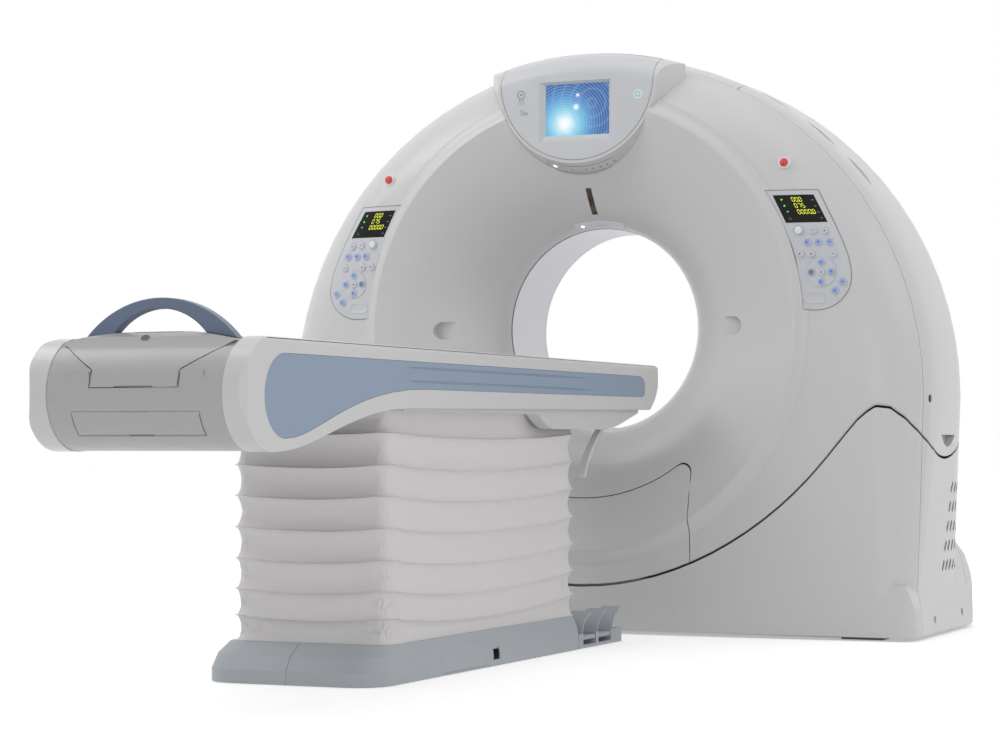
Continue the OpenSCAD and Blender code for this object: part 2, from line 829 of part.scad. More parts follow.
module bearing_outer_race() {
    color([0.70, 0.71, 0.72]) about_bore() translate([hub_r + seat, plate_y0 + 3])
        difference() {
            square([plate_bore_r - hub_r - 2 * seat, plate_y1 - plate_y0 - 6]);
            translate([-1, 16]) square([8, 12]);
        }
}
module motor_stator() {
    color([0.72, 0.45, 0.25]) difference() {
        about_bore() translate([rotor_r + 4, -15]) square([48, plate_y0 + 15]);
        for (a = [0 : 10 : 350])
            translate([0, 0, iso_z]) rotate([0, -a, 0]) block([rotor_r, -20, -5], [rotor_r + 22, 30, 5]);
    }
}
module rotor_ring() {
    color([0.55, 0.57, 0.60]) difference() {
        union() {
            about_bore() polygon([[rotor_in_r, -20], [rotor_r - 30, -20], [rotor_r - 30, rotor_y0],
                                  [rotor_r, rotor_y0], [rotor_r, 40], [hub_r, 40],
                                  [hub_r, plate_y1 - 5], [rotor_in_r, plate_y1 - 5]]);
        }
        for (a = [15 : 30 : 345])
            translate([0, 0, iso_z]) rotate([0, -a, 0]) translate([rotor_r - 90, -30, 0])
                rotate([-90, 0, 0]) cylinder(r = 36, h = 90, $fn = 32);
    }
}
module xray_tube() {
    color([0.60, 0.62, 0.66]) about_bore(iso_z + tube_r)
        polygon([[0, -20], [112, -20], [112, -30], [104, -36], [104, -150], [84, -178], [0, -178]]);
}
module collimator() {
    color([0.30, 0.32, 0.35]) along_y(-130, -20)
        translate([0, iso_z + tube_r - 113]) polygon([[-90, 0], [90, 0], [70, -62], [-70, -62]]);
}
module detector() {
    color([0.25, 0.28, 0.33]) translate([0, 0, iso_z]) rotate([-90, 0, 0])
        rotate([0, 0, 58]) rotate_extrude(angle = 64) difference() {
            translate([detector_r, rotor_y0 + 5]) square([130, -25 - rotor_y0]);
            translate([detector_r - 1, -150]) square([30, 90]);
        }
}
module high_voltage_unit() {
    color([0.50, 0.53, 0.50]) difference() {
        block([rotor_r - 320, -180, iso_z - 150], [rotor_r - 90, -20, iso_z + 150]);
        for (i = [0 : 6])
            block([rotor_r - 310, -181, iso_z - 130 + 40 * i],
                  [rotor_r - 100, -166, iso_z - 112 + 40 * i]);
    }
}
module slip_ring() {
    color([0.75, 0.60, 0.35]) about_bore() difference() {
        translate([hub_r + 55, 40]) square([150, 10]);
        for (i = [0 : 5])
            translate([hub_r + 67 + 22 * i, 46]) square([14, 10]);
    }
}

// ---- Fixed lower covers ----

// Ribs inside the fixed covers, which end at the base frame
module cover_ribs() {
    both_sides() {
        for (x = [300, 1000]) block([x, -700, 21], [x + 6, -250 - seat, 58]);
        for (x = [300, 640]) block([x, 400 + seat, 0], [x + 6, 700, 58]);
        for (y = [-160, 160]) block([pillar_x + pillar_w / 2 + seat, y, 0], [1300, y + 6, 85]);
    }
}
module front_feet(o) {
    both_sides() side_foot(o);
}
module lower_front_cover() {
    color(cover_colour) intersection() {
        difference() {
            union() {
                ring_end_form(0, -1);
                front_feet(0);
            }
            difference() {
                union() {
                    ring_end_form(wall, -1);
                    front_feet(wall);
                }
                cover_ribs();
            }
            joint_form(tilt_gap / 2);
        }
        block([-1290, -700, floor_gap], [1290, -rim_seam_y - seam / 2, iso_z]);
    }
}
module lower_side_cover() {
    color(cover_colour) intersection() {
        difference() {
            union() {
                ring_end_form(0, 1, 30);
                side_foot(0);
                rear_foot(0);
            }
            difference() {
                union() {
                    ring_end_form(wall, 1, 30);
                    side_foot(wall);
                    rear_foot(wall);
                }
                cover_ribs();
            }
            joint_form(tilt_gap / 2);
            side_vents();
        }
        block([1040, -rim_seam_y + seam / 2, floor_gap], [1290, 450, iso_z]);
    }
}
// Rows of short slanted slots in the flank
module side_vents() {
    for (row = [0 : 4], col = [0 : 6])
        translate([1080, 122 - 13 * row + 45 * col, 493 - 66 * row]) rotate([-30, 0, 0])
            block([0, -10, -19], [140, 10, 19]);
}
module lower_side_cover_right() { lower_side_cover(); }
module lower_side_cover_left() { mirror([1, 0, 0]) lower_side_cover(); }
module lower_rear_cover() {
    color(cover_colour) intersection() {
        difference() {
            union() {
                ring_end_form(0, 1);
                rear_foot(0);
            }
            difference() {
                union() {
                    ring_end_form(wall, 1);
                    rear_foot(wall);
                }
                cover_ribs();
            }
            joint_form(tilt_gap / 2);
            block([1040 - seam, -300, -10], [1300, 450 + seam, iso_z]);
            block([-1300, -300, -10], [-1040 + seam, 450 + seam, iso_z]);
        }
        block([-1290, 250, floor_gap], [1290, 700, iso_z]);
    }
}

// ---- Couch ----

foot_z = couch_top - foot_r + 1;
// Outline of the side covers in Y and Z, moved inwards by o
module side_profile(o) {
    r = foot_r - o;
    polygon(concat(
        arc([foot_y, foot_z], r, 90, 270, 24),
        bez([foot_y + 10, foot_z - r], [foot_y + 230, foot_z - r],
            [foot_y + 430, skirt_z + o], [foot_y + 760, skirt_z + o], 12),
        bez([head_y - 87, skirt_z + 16 + o], [head_y - 40 - o, skirt_z + 41 + o],
            [head_y - o, skirt_z + 88], [head_y - o, skirt_z + 136], 8),
        arc([head_y - 20 - o, couch_top - 20 - o], 20, 0, 90, 4)));
}
// Outline of the blue inlay
module inlay_profile(o) {
    r = 104 - o;
    z = foot_z - 4;
    y = foot_y + 64;
    polygon(concat(
        arc([y, z], r, 90, 270, 20),
        bez([y + 4, z - r], [y + 170, z - r], [y + 350, skirt_z + 50 + o],
            [y + 800, skirt_z + 52 + o], 12),
        bez([head_y - 170, skirt_z + 57 + o], [head_y - 145 - o, skirt_z + 57 + o],
            [head_y - 132 - o, skirt_z + 64 + o], [head_y - 132 - o, skirt_z + 76], 5),
        bez([head_y - 132 - o, couch_top - 72], [head_y - 132 - o, couch_top - 52 - o],
            [head_y - 160, couch_top - 40 - o], [head_y - 196, couch_top - 40 - o], 6)));
}
// Outline of the side covers from above, with its round ends moved inwards by o
module side_plan(o) {
    polygon(concat([[0, -3300], [0, head_y - o]],
        arc([couch_x - 12, head_y - 12], 12 - o, 90, 0, 4),
        arc([couch_x - 26, foot_y - foot_r + 26], 26 - o, 0, -90, 6), [[couch_x - 26, -3300]]));
}
module couch_side_cover() {
    color(cover_colour) difference() {
        intersection() {
            along_x(inner_x, couch_x) side_profile(0);
            along_y(-3300, -400) polygon(concat([[0, 500], [0, couch_top]],
                arc([couch_x - side_top_r, couch_top - side_top_r], side_top_r, 90, 0, 6),
                [[couch_x, 500]]));
            linear_extrude(1000) side_plan(0);
        }
        intersection() {
            along_x(inner_x + 4, couch_x - 7) side_profile(4);
            linear_extrude(1000) side_plan(4);
        }
        along_x(couch_x - 3.2, couch_x + 1) inlay_profile(0);
    }
}
module couch_side_cover_right() { couch_side_cover(); }
module couch_side_cover_left() { mirror([1, 0, 0]) couch_side_cover(); }
module side_inlays() {
    color(blue_colour) both_sides() difference() {
        along_x(couch_x - 3.2, couch_x - 0.6) inlay_profile(0.4);
        for (g = [[couch_top - 57, head_y - 642], [couch_top - 93, head_y - 591]])
            along_x(couch_x - 2.2, couch_x) polygon([
                [foot_y + 760, g[0]], [foot_y + 820, g[0] + 2.2], [g[1] - 200, g[0] + 2.2],
                [g[1], g[0]], [g[1] - 200, g[0] - 2.2], [foot_y + 860, g[0] - 2.2]]);
    }
}
// Section of the moving end of the tabletop in X and Z, made larger by o
end_x = 242;
module end_section(o) {
    polygon(concat([[-end_x - o, 1010], [-end_x - o, couch_top - 11],
        [-124 - o, couch_top - 79 - o], [-124 - o, rail_top + 9 - o],
        [124 + o, rail_top + 9 - o], [124 + o, couch_top - 79 - o],
        [end_x + o, couch_top - 11], [end_x + o, 1010]]));
}
door_a0 = -48;
door_a1 = -18;
module door_sector(r0, r1, a0, a1) {
    polygon(concat(arc([foot_y, foot_z], r1, 180 - a0, 180 - a1, 10),
                   arc([foot_y, foot_z], r0, 180 - a1, 180 - a0, 10)));
}
module foot_housing() {
    x = inner_x - seat;
    color(housing_colour) difference() {
        along_x(-x, x) intersection() {
            side_profile(2);
            translate([-3400, 500]) square([3400 + foot_y + 190, 500]);
        }
        along_x(-x + 4, x - 4) intersection() {
            side_profile(6);
            translate([-3400, 500]) square([3400 + foot_y + 400, 500]);
        }
        along_y(-3400, -2800) end_section(table_gap / 2);
        along_x(-180, 180) door_sector(foot_r - 20, foot_r + 5, door_a0, door_a1);
    }
    color(housing_colour) difference() {
        both_sides() along_x(128, 190) translate([foot_y - foot_r + 6, rail_top + 5]) square([16, 44]);
        along_y(-3400, -2800) end_section(table_gap / 2);
    }
}
// The door turns on its rounded lower edge
hinge_a = 180 - door_a0 - 1.2;
module pocket_door() {
    color(housing_colour) along_x(-180 + fit, 180 - fit) {
        door_sector(foot_r - 6, foot_r - 2, door_a0 + 1.2, door_a1 - 0.3);
        translate([foot_y + (foot_r - 4) * cos(hinge_a), foot_z + (foot_r - 4) * sin(hinge_a)])
            circle(r = 2, $fn = 32);
    }
}
module couch_frame() {
    x = inner_x - seat;
    color(steel_colour) {
        for (y = [-2880, -2300, -1675, -1000, -620])
            block([-x, y - 30, frame_z0], [x, y + 30, frame_z1]);
        both_sides() difference() {
            block([196, -2960, frame_z0], [236, -480, frame_z0 + 60]);
            block([200, -2961, frame_z0 + 4], [232, -479, frame_z0 + 56]);
        }
        both_sides() block([98, -2960, frame_z1 - 1], [116, -470, rail_top]);
        for (y = column_y) {
            block([-180, y - 110, frame_z0 - 40], [180, y + 110, frame_z0 - 24]);
            for (s = [-1, 1])
                block([-170, y + s * 80 - 6, frame_z0 - 25], [170, y + s * 80 + 6, frame_z0 + 1]);
            telescope_tube(3, y, frame_z0 - 30);
            block([-30, y - 100, frame_z0 - 25], [30, y + 100, frame_z0 + 1]);
        }
        both_sides() block([150, -2310, frame_z0 - 8], [170, -1050, frame_z0 + 1]);
    }
}
// Square tube number i of the telescopic columns, i = 0 on the base, up to the height top
module telescope_tube(i, y, top) {
    w = column_w - 2 * tube_step * i;
    z = 20 + 5 * i + stage_rise * i;
    translate([0, y, z]) difference() {
        translate([-w / 2, -w / 2, 0]) cube([w, w, top - z]);
        translate([-w / 2 + column_t, -w / 2 + column_t, -1])
            cube([w - 2 * column_t, w - 2 * column_t, top - z + 2]);
    }
}
module lift_stage(i) {
    color([0.66, 0.68, 0.70]) for (y = column_y)
        telescope_tube(i, y, 20 + 5 * i + stage_rise * i + stage_len);
}
module lift_stage_lower() { lift_stage(1); }
module lift_stage_upper() { lift_stage(2); }
base_end_y = bellows_y1 - 55;
module couch_base_frame() {
    color([0.36, 0.38, 0.41]) difference() {
        union() {
            block([-222, bellows_y0 - 20, 0], [222, base_end_y, 20]);
            both_sides() block([196, bellows_y0 + 40, 10], [222, base_end_y, 70]);
            for (y = column_y) telescope_tube(0, y, 20 + stage_len);
        }
        for (x = [-1, 1], y = [bellows_y0 + 30, base_end_y - 45])
            translate([x * 165, y, -1]) cylinder(d = anchor_d, h = 30);
    }
}
module lift_drive() {
    color([0.30, 0.33, 0.36]) {
        block([-70, -1760, 20 + seat], [70, -1600, 130]);
        translate([0, -1600, 80]) rotate([-90, 0, 0]) cylinder(r = 45, h = 130);
        for (i = [0 : 5])
            translate([0, -1590 + 20 * i, 80]) rotate([-90, 0, 0]) cylinder(r = 51, h = 7);
    }
}
// Rounded plan of the plinth between two heights
module plinth_slab(x, y0, y1, z0, z1, r) {
    for (s = [-1, 1]) {
        translate([s * (x - r), y0 + r, z0]) cylinder(r = r, h = z1 - z0, $fn = 32);
        translate([s * (x - 12), y1 - 12, z0]) cylinder(r = 12, h = z1 - z0, $fn = 16);
    }
}
plinth_y0 = bellows_y0 - 125;
plinth_y1 = bellows_y1 - 45;
module plinth_form(o) {
    top = plinth_h - o;
    hull() {
        plinth_slab(plinth_x - o, plinth_y0 + o, plinth_y1 - o, 0, 36, 100);
        plinth_slab(plinth_x - 6 - o, plinth_y0 + 26 + o, plinth_y1 - o, 60, 74 - o / 2, 96);
        plinth_slab(plinth_x - 20 - o, plinth_y0 + 75 + o, plinth_y1 - o, top - 2, top, 90);
    }
}
door_y0 = -2069;
door_y1 = -1762;
module plinth_cover() {
    color(plinth_colour) difference() {
        union() {
            plinth_form(0);
            block([-196, plinth_y1 - 30, 46], [196, bellows_y1 + 15, plinth_h]);
        }
        difference() {
            plinth_form(4);
            block([plinth_x - 14, door_y0 - 12, 0], [plinth_x, door_y1 + 12, plinth_h]);
        }
        block([-224, bellows_y0 + 20, -1], [224, plinth_y1 - 12, plinth_h + 1]);
        block([-170, bellows_y0 + 20, 60], [170, bellows_y1 - 18, plinth_h + 1]);
        block([-192, plinth_y1 - 30, 40], [192, bellows_y1 - 18, plinth_h - 4]);
        block([plinth_x - 8, door_y0, 6], [plinth_x + 1, door_y1, plinth_h + 1]);
        block([plinth_x - 6, -1715, 18], [plinth_x + 1, -1668, 54]);
        // Joint line of the two halves of the cover
        difference() {
            block([-1.5, plinth_y0 - 1, -1], [1.5, plinth_y0 + 88, plinth_h + 1]);
            plinth_form(2);
        }
    }
}
module plinth_door() {
    color(plinth_colour) intersection() {
        plinth_form(0);
        block([plinth_x - 8 + seat, door_y0 + fit, 6 + fit],
              [plinth_x + 1, door_y1 - fit, plinth_h - 8]);
    }
}
// Outline of the bellows wall: distance from the axis line and height. The ridges are
// closer together at the bottom, where the folds carry the most cloth.
bellows_z0 = plinth_h + seat;
bellows_z1 = frame_z0 - seat;
ridge_at = [0, 0.098, 0.212, 0.342, 0.478, 0.613, 0.746, 0.884, 1];
function fold_curve(t) =
    [for (i = [0 : len(ridge_at) - 2], j = [0 : 5])
        let (f = ridge_at[i] + (ridge_at[i + 1] - ridge_at[i]) * j / 6)
        [-t - fold_depth * sin(j * 30), bellows_z0 + f * (bellows_z1 - bellows_z0)]];
module bellows_wall() {
    outer = concat(fold_curve(0), [[0, bellows_z1]]);
    inner = concat(fold_curve(2.5), [[-2.5, bellows_z1]]);
    polygon(concat(outer, [for (i = [len(inner) - 1 : -1 : 0]) inner[i]]));
}
corner_r = 45;
module bellows() {
    ym = (bellows_y0 + bellows_y1) / 2;
    half_y = (bellows_y1 - bellows_y0) / 2;
    color([0.80, 0.795, 0.785]) translate([0, ym, 0]) for (s = [-1, 1]) {
        mirror([s < 0 ? 1 : 0, 0, 0]) {
            translate([bellows_x, half_y - corner_r, 0]) rotate([90, 0, 0])
                linear_extrude(2 * (half_y - corner_r)) bellows_wall();
            for (e = [0, 1]) mirror([0, e, 0])
                translate([bellows_x - corner_r, half_y - corner_r, 0])
                    rotate_extrude(angle = 90) translate([corner_r, 0]) bellows_wall();
        }
        mirror([0, s < 0 ? 1 : 0, 0])
            translate([-(bellows_x - corner_r), half_y, 0]) rotate([90, 0, 90])
                linear_extrude(2 * (bellows_x - corner_r)) bellows_wall();
    }
}
// Cover below the head end, which closes the couch round the top of the bellows
tray_x = 286;
tray_y0 = bellows_y0 + 6;
tray_y1 = -575;
tray_z = skirt_z - 50;
lip_z = skirt_z - 6;
function skirt_at(y) = skirt_z + 16 * (y - foot_y - 760) / (head_y - 87 - foot_y - 760);
module tray_profile(o) {
    polygon(concat(
        [[tray_y0 + o, skirt_at(tray_y0) - seat], [tray_y0 + o, lip_z + o]],
        bez([-1425 + o, lip_z + o], [-1395 + o, lip_z - 14 + o],
            [-1345 + o, tray_z + 3 + o], [-1305, tray_z + o], 6),
        bez([-900, tray_z + o], [-790, tray_z + 2 + o],
            [-730, tray_z + 20 + o], [tray_y1 - o, skirt_at(tray_y1) - 10], 8),
        [[tray_y1 - o, skirt_at(tray_y1) - seat]]));
}
module head_under_cover() {
    color(cover_colour) {
        difference() {
            along_x(-tray_x, tray_x) tray_profile(0);
            along_x(-tray_x + 4, tray_x - 4) tray_profile(4);
            block([-bellows_x - 1.5, tray_y0 - 10, 500],
                  [bellows_x + 1.5, bellows_y1 + 1.5, skirt_z + 30]);
            block([-inner_x - seat, tray_y0 - 10, frame_z0 - seat], [inner_x + seat, -400, 800]);
        }
        // Curved guide for the cables
        along_x(231, 251) {
            line = bez([-778, tray_z + 8], [-850, tray_z - 36], [-925, tray_z - 86],
                       [-952, tray_z - 153], 12);
            polygon(concat(line, [for (i = [12 : -1 : 0]) beside(line, 16)[i]]));
        }
    }
}
module tabletop() {
    color([0.20, 0.21, 0.23]) {
        r = 490;
        y0 = foot_y + 100 + seat;
        along_y(y0, head_y - 2) intersection() {
            difference() {
                translate([0, couch_top - 77 + r]) circle(r = r, $fn = 180);
                translate([0, couch_top - 77 + r]) circle(r = r - 22, $fn = 180);
            }
            translate([-235, 0]) square([470, couch_top - 12]);
        }
        along_y(y0, head_y - 40) difference() {
            translate([-112, rail_top + seat]) square([224, couch_top - 70 - rail_top]);
            translate([-102, rail_top - 1]) square([204, couch_top - 84 - rail_top]);
            translate([0, couch_top - 77 + r]) circle(r = r - 5, $fn = 180);
        }
    }
}
module tabletop_end() {
    y1 = foot_y + 100;
    color(housing_colour) intersection() {
        along_y(foot_y - foot_r - 20, y1) end_section(0);
        along_x(-300, 300) polygon(concat(
            arc([foot_y, foot_z], foot_r + 14, 90, 115, 4), arc([foot_y, foot_z], foot_r - 1, 125, 200, 10),
            [[y1, 700], [y1, foot_z + foot_r + 14]]));
        along_y(-3400, -2800) translate([0, couch_top + 18 - 1024]) circle(r = 1024, $fn = 180);
    }
}
module tabletop_handle() {
    outer_r = 281;
    inner_r = 168;
    color([0.38, 0.46, 0.58]) along_y(foot_y - 16, foot_y + 16) difference() {
        translate([0, couch_top + 98 - outer_r]) circle(r = outer_r, $fn = 180);
        translate([0, couch_top + 71 - inner_r]) circle(r = inner_r, $fn = 180);
        translate([0, couch_top + 18.4 - 1024]) circle(r = 1024, $fn = 360);
        translate([-400, 0]) square([800, couch_top - 20]);
    }
}

// ---- Foot pedals ----

pedal_y = [-1010, -880];
pedal_len = 100;
pedal_x0 = 196;
module pedal_housing() {
    y1 = plinth_y1 + 368;
    color(plinth_colour) {
        difference() {
            block([-plinth_x + 2, plinth_y1 + seat, 0], [plinth_x - 2, y1, 45]);
            both_sides() for (y = pedal_y)
                block([pedal_x0 - 4 - seat, y - 4, 10], [plinth_x + 2, y + pedal_len + 4, 46]);
            block([-170, plinth_y1 + 8, -1], [170, y1 - 8, 37]);
        }
        // Curved fins over the pedals
        both_sides() for (y = [-1014, -886, -758]) along_x(200, plinth_x - 4) {
            line = bez([y, 44], [y + 4, 75], [y + 30, 95], [y + 78, 108], 8);
            polygon(concat(line, [for (i = [8 : -1 : 0]) beside(line, -5)[i]]));
        }
    }
}
module pedal() {
    color([0.50, 0.53, 0.56]) {
        block([pedal_x0, 0, 31], [plinth_x - 4, pedal_len, 38]);
        block([plinth_x - 16, 0, 26], [plinth_x - 4, pedal_len, 32]);
        translate([pedal_x0, 0, 34.5]) rotate([-90, 0, 0]) cylinder(r = 4, h = pedal_len);
    }
}
module pedals(side, end) {
    mirror([side == "left" ? 1 : 0, 0, 0]) translate([0, pedal_y[end == "foot" ? 0 : 1], 0]) pedal();
}

gantry_base_frame();
trunnion_bearings();
lower_front_cover();
lower_rear_cover();
lower_side_cover_left();
lower_side_cover_right();
tilt_drive();
tilt_pinion();
tilt_frame();
tilt_sector();
front_cover();
service_cover();
rear_cover();
side_cover_left();
side_cover_right();
top_cover();
bore_liner();
laser_window();
light_strips();
display_housing();
display_panel();
display_screen();
control_panels();
readout_windows();
keypads();
stop_collars();
stop_button_left();
stop_button_right();
volume_knob_left();
volume_knob_right();
bearing_outer_race();
motor_stator();
rotor_ring();
xray_tube();
collimator();
detector();
high_voltage_unit();
slip_ring();
couch_base_frame();
plinth_cover();
plinth_door();
bellows();
lift_drive();
lift_stage_lower();
lift_stage_upper();
couch_frame();
couch_side_cover_left();
couch_side_cover_right();
side_inlays();
foot_housing();
pocket_door();
head_under_cover();
tabletop();
tabletop_end();
tabletop_handle();
pedal_housing();
for (side = ["left", "right"], end = ["foot", "head"])
    pedals(side, end);
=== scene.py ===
"""CT scanner: the looks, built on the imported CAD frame. Metres, Z up, bore along +Y."""

import json
import math

import bpy
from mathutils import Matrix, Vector, noise
from mathutils.bvhtree import BVHTree

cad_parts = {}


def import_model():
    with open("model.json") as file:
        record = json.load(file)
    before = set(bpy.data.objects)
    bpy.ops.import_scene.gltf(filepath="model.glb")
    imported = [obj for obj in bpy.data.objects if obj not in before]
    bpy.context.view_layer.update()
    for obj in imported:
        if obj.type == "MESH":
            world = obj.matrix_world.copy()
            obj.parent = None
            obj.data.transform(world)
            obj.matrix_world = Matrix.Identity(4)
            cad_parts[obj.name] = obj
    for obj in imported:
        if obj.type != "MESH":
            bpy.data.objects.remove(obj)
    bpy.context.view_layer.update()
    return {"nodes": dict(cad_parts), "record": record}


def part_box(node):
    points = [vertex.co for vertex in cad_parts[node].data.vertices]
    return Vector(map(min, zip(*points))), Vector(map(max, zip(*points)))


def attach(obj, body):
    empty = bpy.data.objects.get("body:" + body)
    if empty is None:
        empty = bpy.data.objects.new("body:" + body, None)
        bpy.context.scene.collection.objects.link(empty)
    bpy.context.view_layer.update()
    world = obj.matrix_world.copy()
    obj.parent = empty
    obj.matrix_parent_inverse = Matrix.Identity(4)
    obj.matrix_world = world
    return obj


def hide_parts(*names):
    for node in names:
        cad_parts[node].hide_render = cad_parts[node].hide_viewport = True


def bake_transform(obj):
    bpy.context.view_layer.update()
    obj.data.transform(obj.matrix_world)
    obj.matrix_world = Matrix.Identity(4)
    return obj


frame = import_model()
NODES = frame["nodes"]


def place(node_name):
    """A CAD node's lowest and highest corners at rest, to a tenth of a millimetre."""
    return [[round(v, 4) for v in corner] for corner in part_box(node_name)]


def middle(node_name):
    """The x and z of the middle of a CAD node."""
    low, high = place(node_name)
    return (low[0] + high[0]) / 2, (low[2] + high[2]) / 2


SIDES = (-1, 1)
ISO = middle("bore_liner")[1]
# Where rays start that look for a surface: two values of y, one of x and one of z
BEFORE_GANTRY, BEYOND_FOOT_END, BESIDE, OVERHEAD = -1.0, -4.0, 2.0, 3.0


# ---------------------------------------------------------------- materials

WHITE = (1, 1, 1, 1)


def srgb(r, g, b):
    """Linear colour from 8-bit sRGB values."""
    def lin(c):
        c /= 255
        return c / 12.92 if c <= 0.04045 else ((c + 0.055) / 1.055) ** 2.4
    return (lin(r), lin(g), lin(b), 1)


def new_material(name):
    """A new material, its node tree and its shader."""
    material = bpy.data.materials.new(name)
    material.use_nodes = True
    tree = material.node_tree
    return material, tree, tree.nodes["Principled BSDF"]


def settings(n, **values):
    """Sets a node's inputs by name, with _ for a space, and otherwise its own properties."""
    for k, v in values.items():
        key = k.replace("_", " ")
        if key in n.inputs:
            n.inputs[key].default_value = v
        else:
            setattr(n, k, v)
    return n


def node(tree, kind, **values):
    """A new shader node of a kind, with its settings."""
    return settings(tree.nodes.new(kind), **values)


def ranged(tree, value, low, high, reach=1.0, kind="LINEAR"):
    """A value from 0 to reach, turned into one from low to high."""
    n = node(tree, "ShaderNodeMapRange", From_Max=reach, To_Min=low, To_Max=high,
             interpolation_type=kind)
    tree.links.new(value, n.inputs["Value"])
    return n.outputs["Result"]


def maths(tree, operation, *values):
    """A Math node on numbers and outputs."""
    n = node(tree, "ShaderNodeMath", operation=operation)
    for slot, v in zip(n.inputs, values):
        if isinstance(v, (int, float)):
            slot.default_value = v
        else:
            tree.links.new(v, slot)
    return n.outputs[0]


def plastic(name, colour, rough=0.4, grain=900, bump=0.06, coat=0.0, patch=0.02, metallic=0.0,
            spread=0.06, specular=0.5):
    """A moulded or painted surface: slow tone changes, grain in the roughness and a fine bump."""
    material, tree, shader = new_material(name)
    coords = node(tree, "ShaderNodeTexCoord")
    slow = node(tree, "ShaderNodeTexNoise", Scale=2.2, Detail=3.0)
    fine = node(tree, "ShaderNodeTexNoise", Scale=float(grain), Detail=2.0)
    dust = node(tree, "ShaderNodeTexNoise", Scale=31.0, Detail=6.0, Roughness=0.62)
    for n in (slow, fine, dust):
        tree.links.new(coords.outputs["Object"], n.inputs["Vector"])
    tone = node(tree, "ShaderNodeVectorMath", operation="SCALE")
    tone.inputs[0].default_value = colour[:3]
    tree.links.new(ranged(tree, slow.outputs["Fac"], 1 - patch, 1 + patch), tone.inputs["Scale"])
    tree.links.new(tone.outputs["Vector"], shader.inputs["Base Color"])
    sheen = ranged(tree, dust.outputs["Fac"], max(0.02, rough - spread), rough + spread)
    tree.links.new(sheen, shader.inputs["Roughness"])
    relief = node(tree, "ShaderNodeBump", Strength=bump, Distance=0.0006)
    tree.links.new(fine.outputs["Fac"], relief.inputs["Height"])
    tree.links.new(relief.outputs["Normal"], shader.inputs["Normal"])
    settings(shader, Coat_Weight=coat, Coat_Roughness=0.2, Specular_IOR_Level=specular, Metallic=metallic)
    return material


def glow(name, colour, strength):
    """A lamp's or a lit figure's own light."""
    material, _, shader = new_material(name)
    settings(shader, Base_Color=colour, Emission_Color=colour, Emission_Strength=strength, Roughness=0.3)
    return material


def brushed(name, colour, rough=0.32):
    """Machined metal with fine turning lines."""
    material, tree, shader = new_material(name)
    coords = node(tree, "ShaderNodeTexCoord")
    drawn_out = node(tree, "ShaderNodeMapping", Scale=(12, 900, 12))
    lines = node(tree, "ShaderNodeTexNoise", Scale=3.0, Detail=4.0)
    tree.links.new(coords.outputs["Object"], drawn_out.inputs["Vector"])
    tree.links.new(drawn_out.outputs["Vector"], lines.inputs["Vector"])
    sheen = ranged(tree, lines.outputs["Fac"], rough - 0.1, rough + 0.12)
    tree.links.new(sheen, shader.inputs["Roughness"])
    settings(shader, Base_Color=colour, Metallic=1.0)
    return material


# The display's picture, as x, z and reach: a halo of rings with a bright core, two stars and faint arcs
HALO, CORE = (-0.046, 1.7325, 0.15), (-0.046, 1.7325, 0.044)
SPARK, STAR = (-0.004, 1.788, 0.016), (0.002, 1.829, 0.010)
ARCS = (0.055, 1.80, 0.1)


def screen_material():
    """A generic picture: soft light over blue rings."""
    material, tree, shader = new_material("display_picture")
    coords = node(tree, "ShaderNodeTexCoord")
    split = node(tree, "ShaderNodeSeparateXYZ")
    here = node(tree, "ShaderNodeCombineXYZ")
    tree.links.new(coords.outputs["Object"], split.inputs["Vector"])
    tree.links.new(split.outputs["X"], here.inputs["X"])
    tree.links.new(split.outputs["Z"], here.inputs["Y"])

    def glow_at(x, z, reach):
        """Light that fades round a point, and the distance from that point."""
        away = node(tree, "ShaderNodeVectorMath", operation="DISTANCE")
        away.inputs[0].default_value = (x, z, 0)
        tree.links.new(here.outputs["Vector"], away.inputs[1])
        distance = away.outputs["Value"]
        return ranged(tree, distance, 1.0, 0.0, reach, "SMOOTHSTEP"), distance

    def rings(distance, pitch, sharpness, strength):
        """Thin bright rings at even steps of distance."""
        wave = maths(tree, "ABSOLUTE", maths(tree, "SINE", maths(tree, "MULTIPLY", distance, pitch)))
        return maths(tree, "MULTIPLY", maths(tree, "POWER", wave, sharpness), strength)

    def mix(share, under, over):
        """One colour laid over another at a share."""
        n = node(tree, "ShaderNodeMix", data_type="RGBA")
        for k, v in ((0, share), (6, under), (7, over)):
            if isinstance(v, tuple):
                n.inputs[k].default_value = v
            else:
                tree.links.new(v, n.inputs[k])
        return n.outputs[2]

    halo, from_halo = glow_at(*HALO)
    ramp = node(tree, "ShaderNodeValToRGB")
    ramp.color_ramp.elements[0].color = srgb(52, 92, 158)
    ramp.color_ramp.elements[1].color = srgb(196, 240, 250)
    for at, colour in ((0.35, srgb(86, 146, 204)), (0.62, srgb(112, 190, 224))):
        ramp.color_ramp.elements.new(at).color = colour
    tree.links.new(halo, ramp.inputs["Fac"])
    picture = mix(rings(from_halo, 330.0, 14.0, 0.34), ramp.outputs["Color"], srgb(168, 226, 244))
    _, from_arcs = glow_at(*ARCS)
    picture = mix(rings(from_arcs, 96.0, 26.0, 0.3), picture, srgb(150, 180, 222))
    for spot in (CORE, SPARK, STAR):
        picture = mix(glow_at(*spot)[0], picture, WHITE)
    tree.links.new(picture, shader.inputs["Emission Color"])
    settings(shader, Base_Color=(0.01, 0.02, 0.04, 1), Roughness=0.12, Emission_Strength=0.95)
    return material


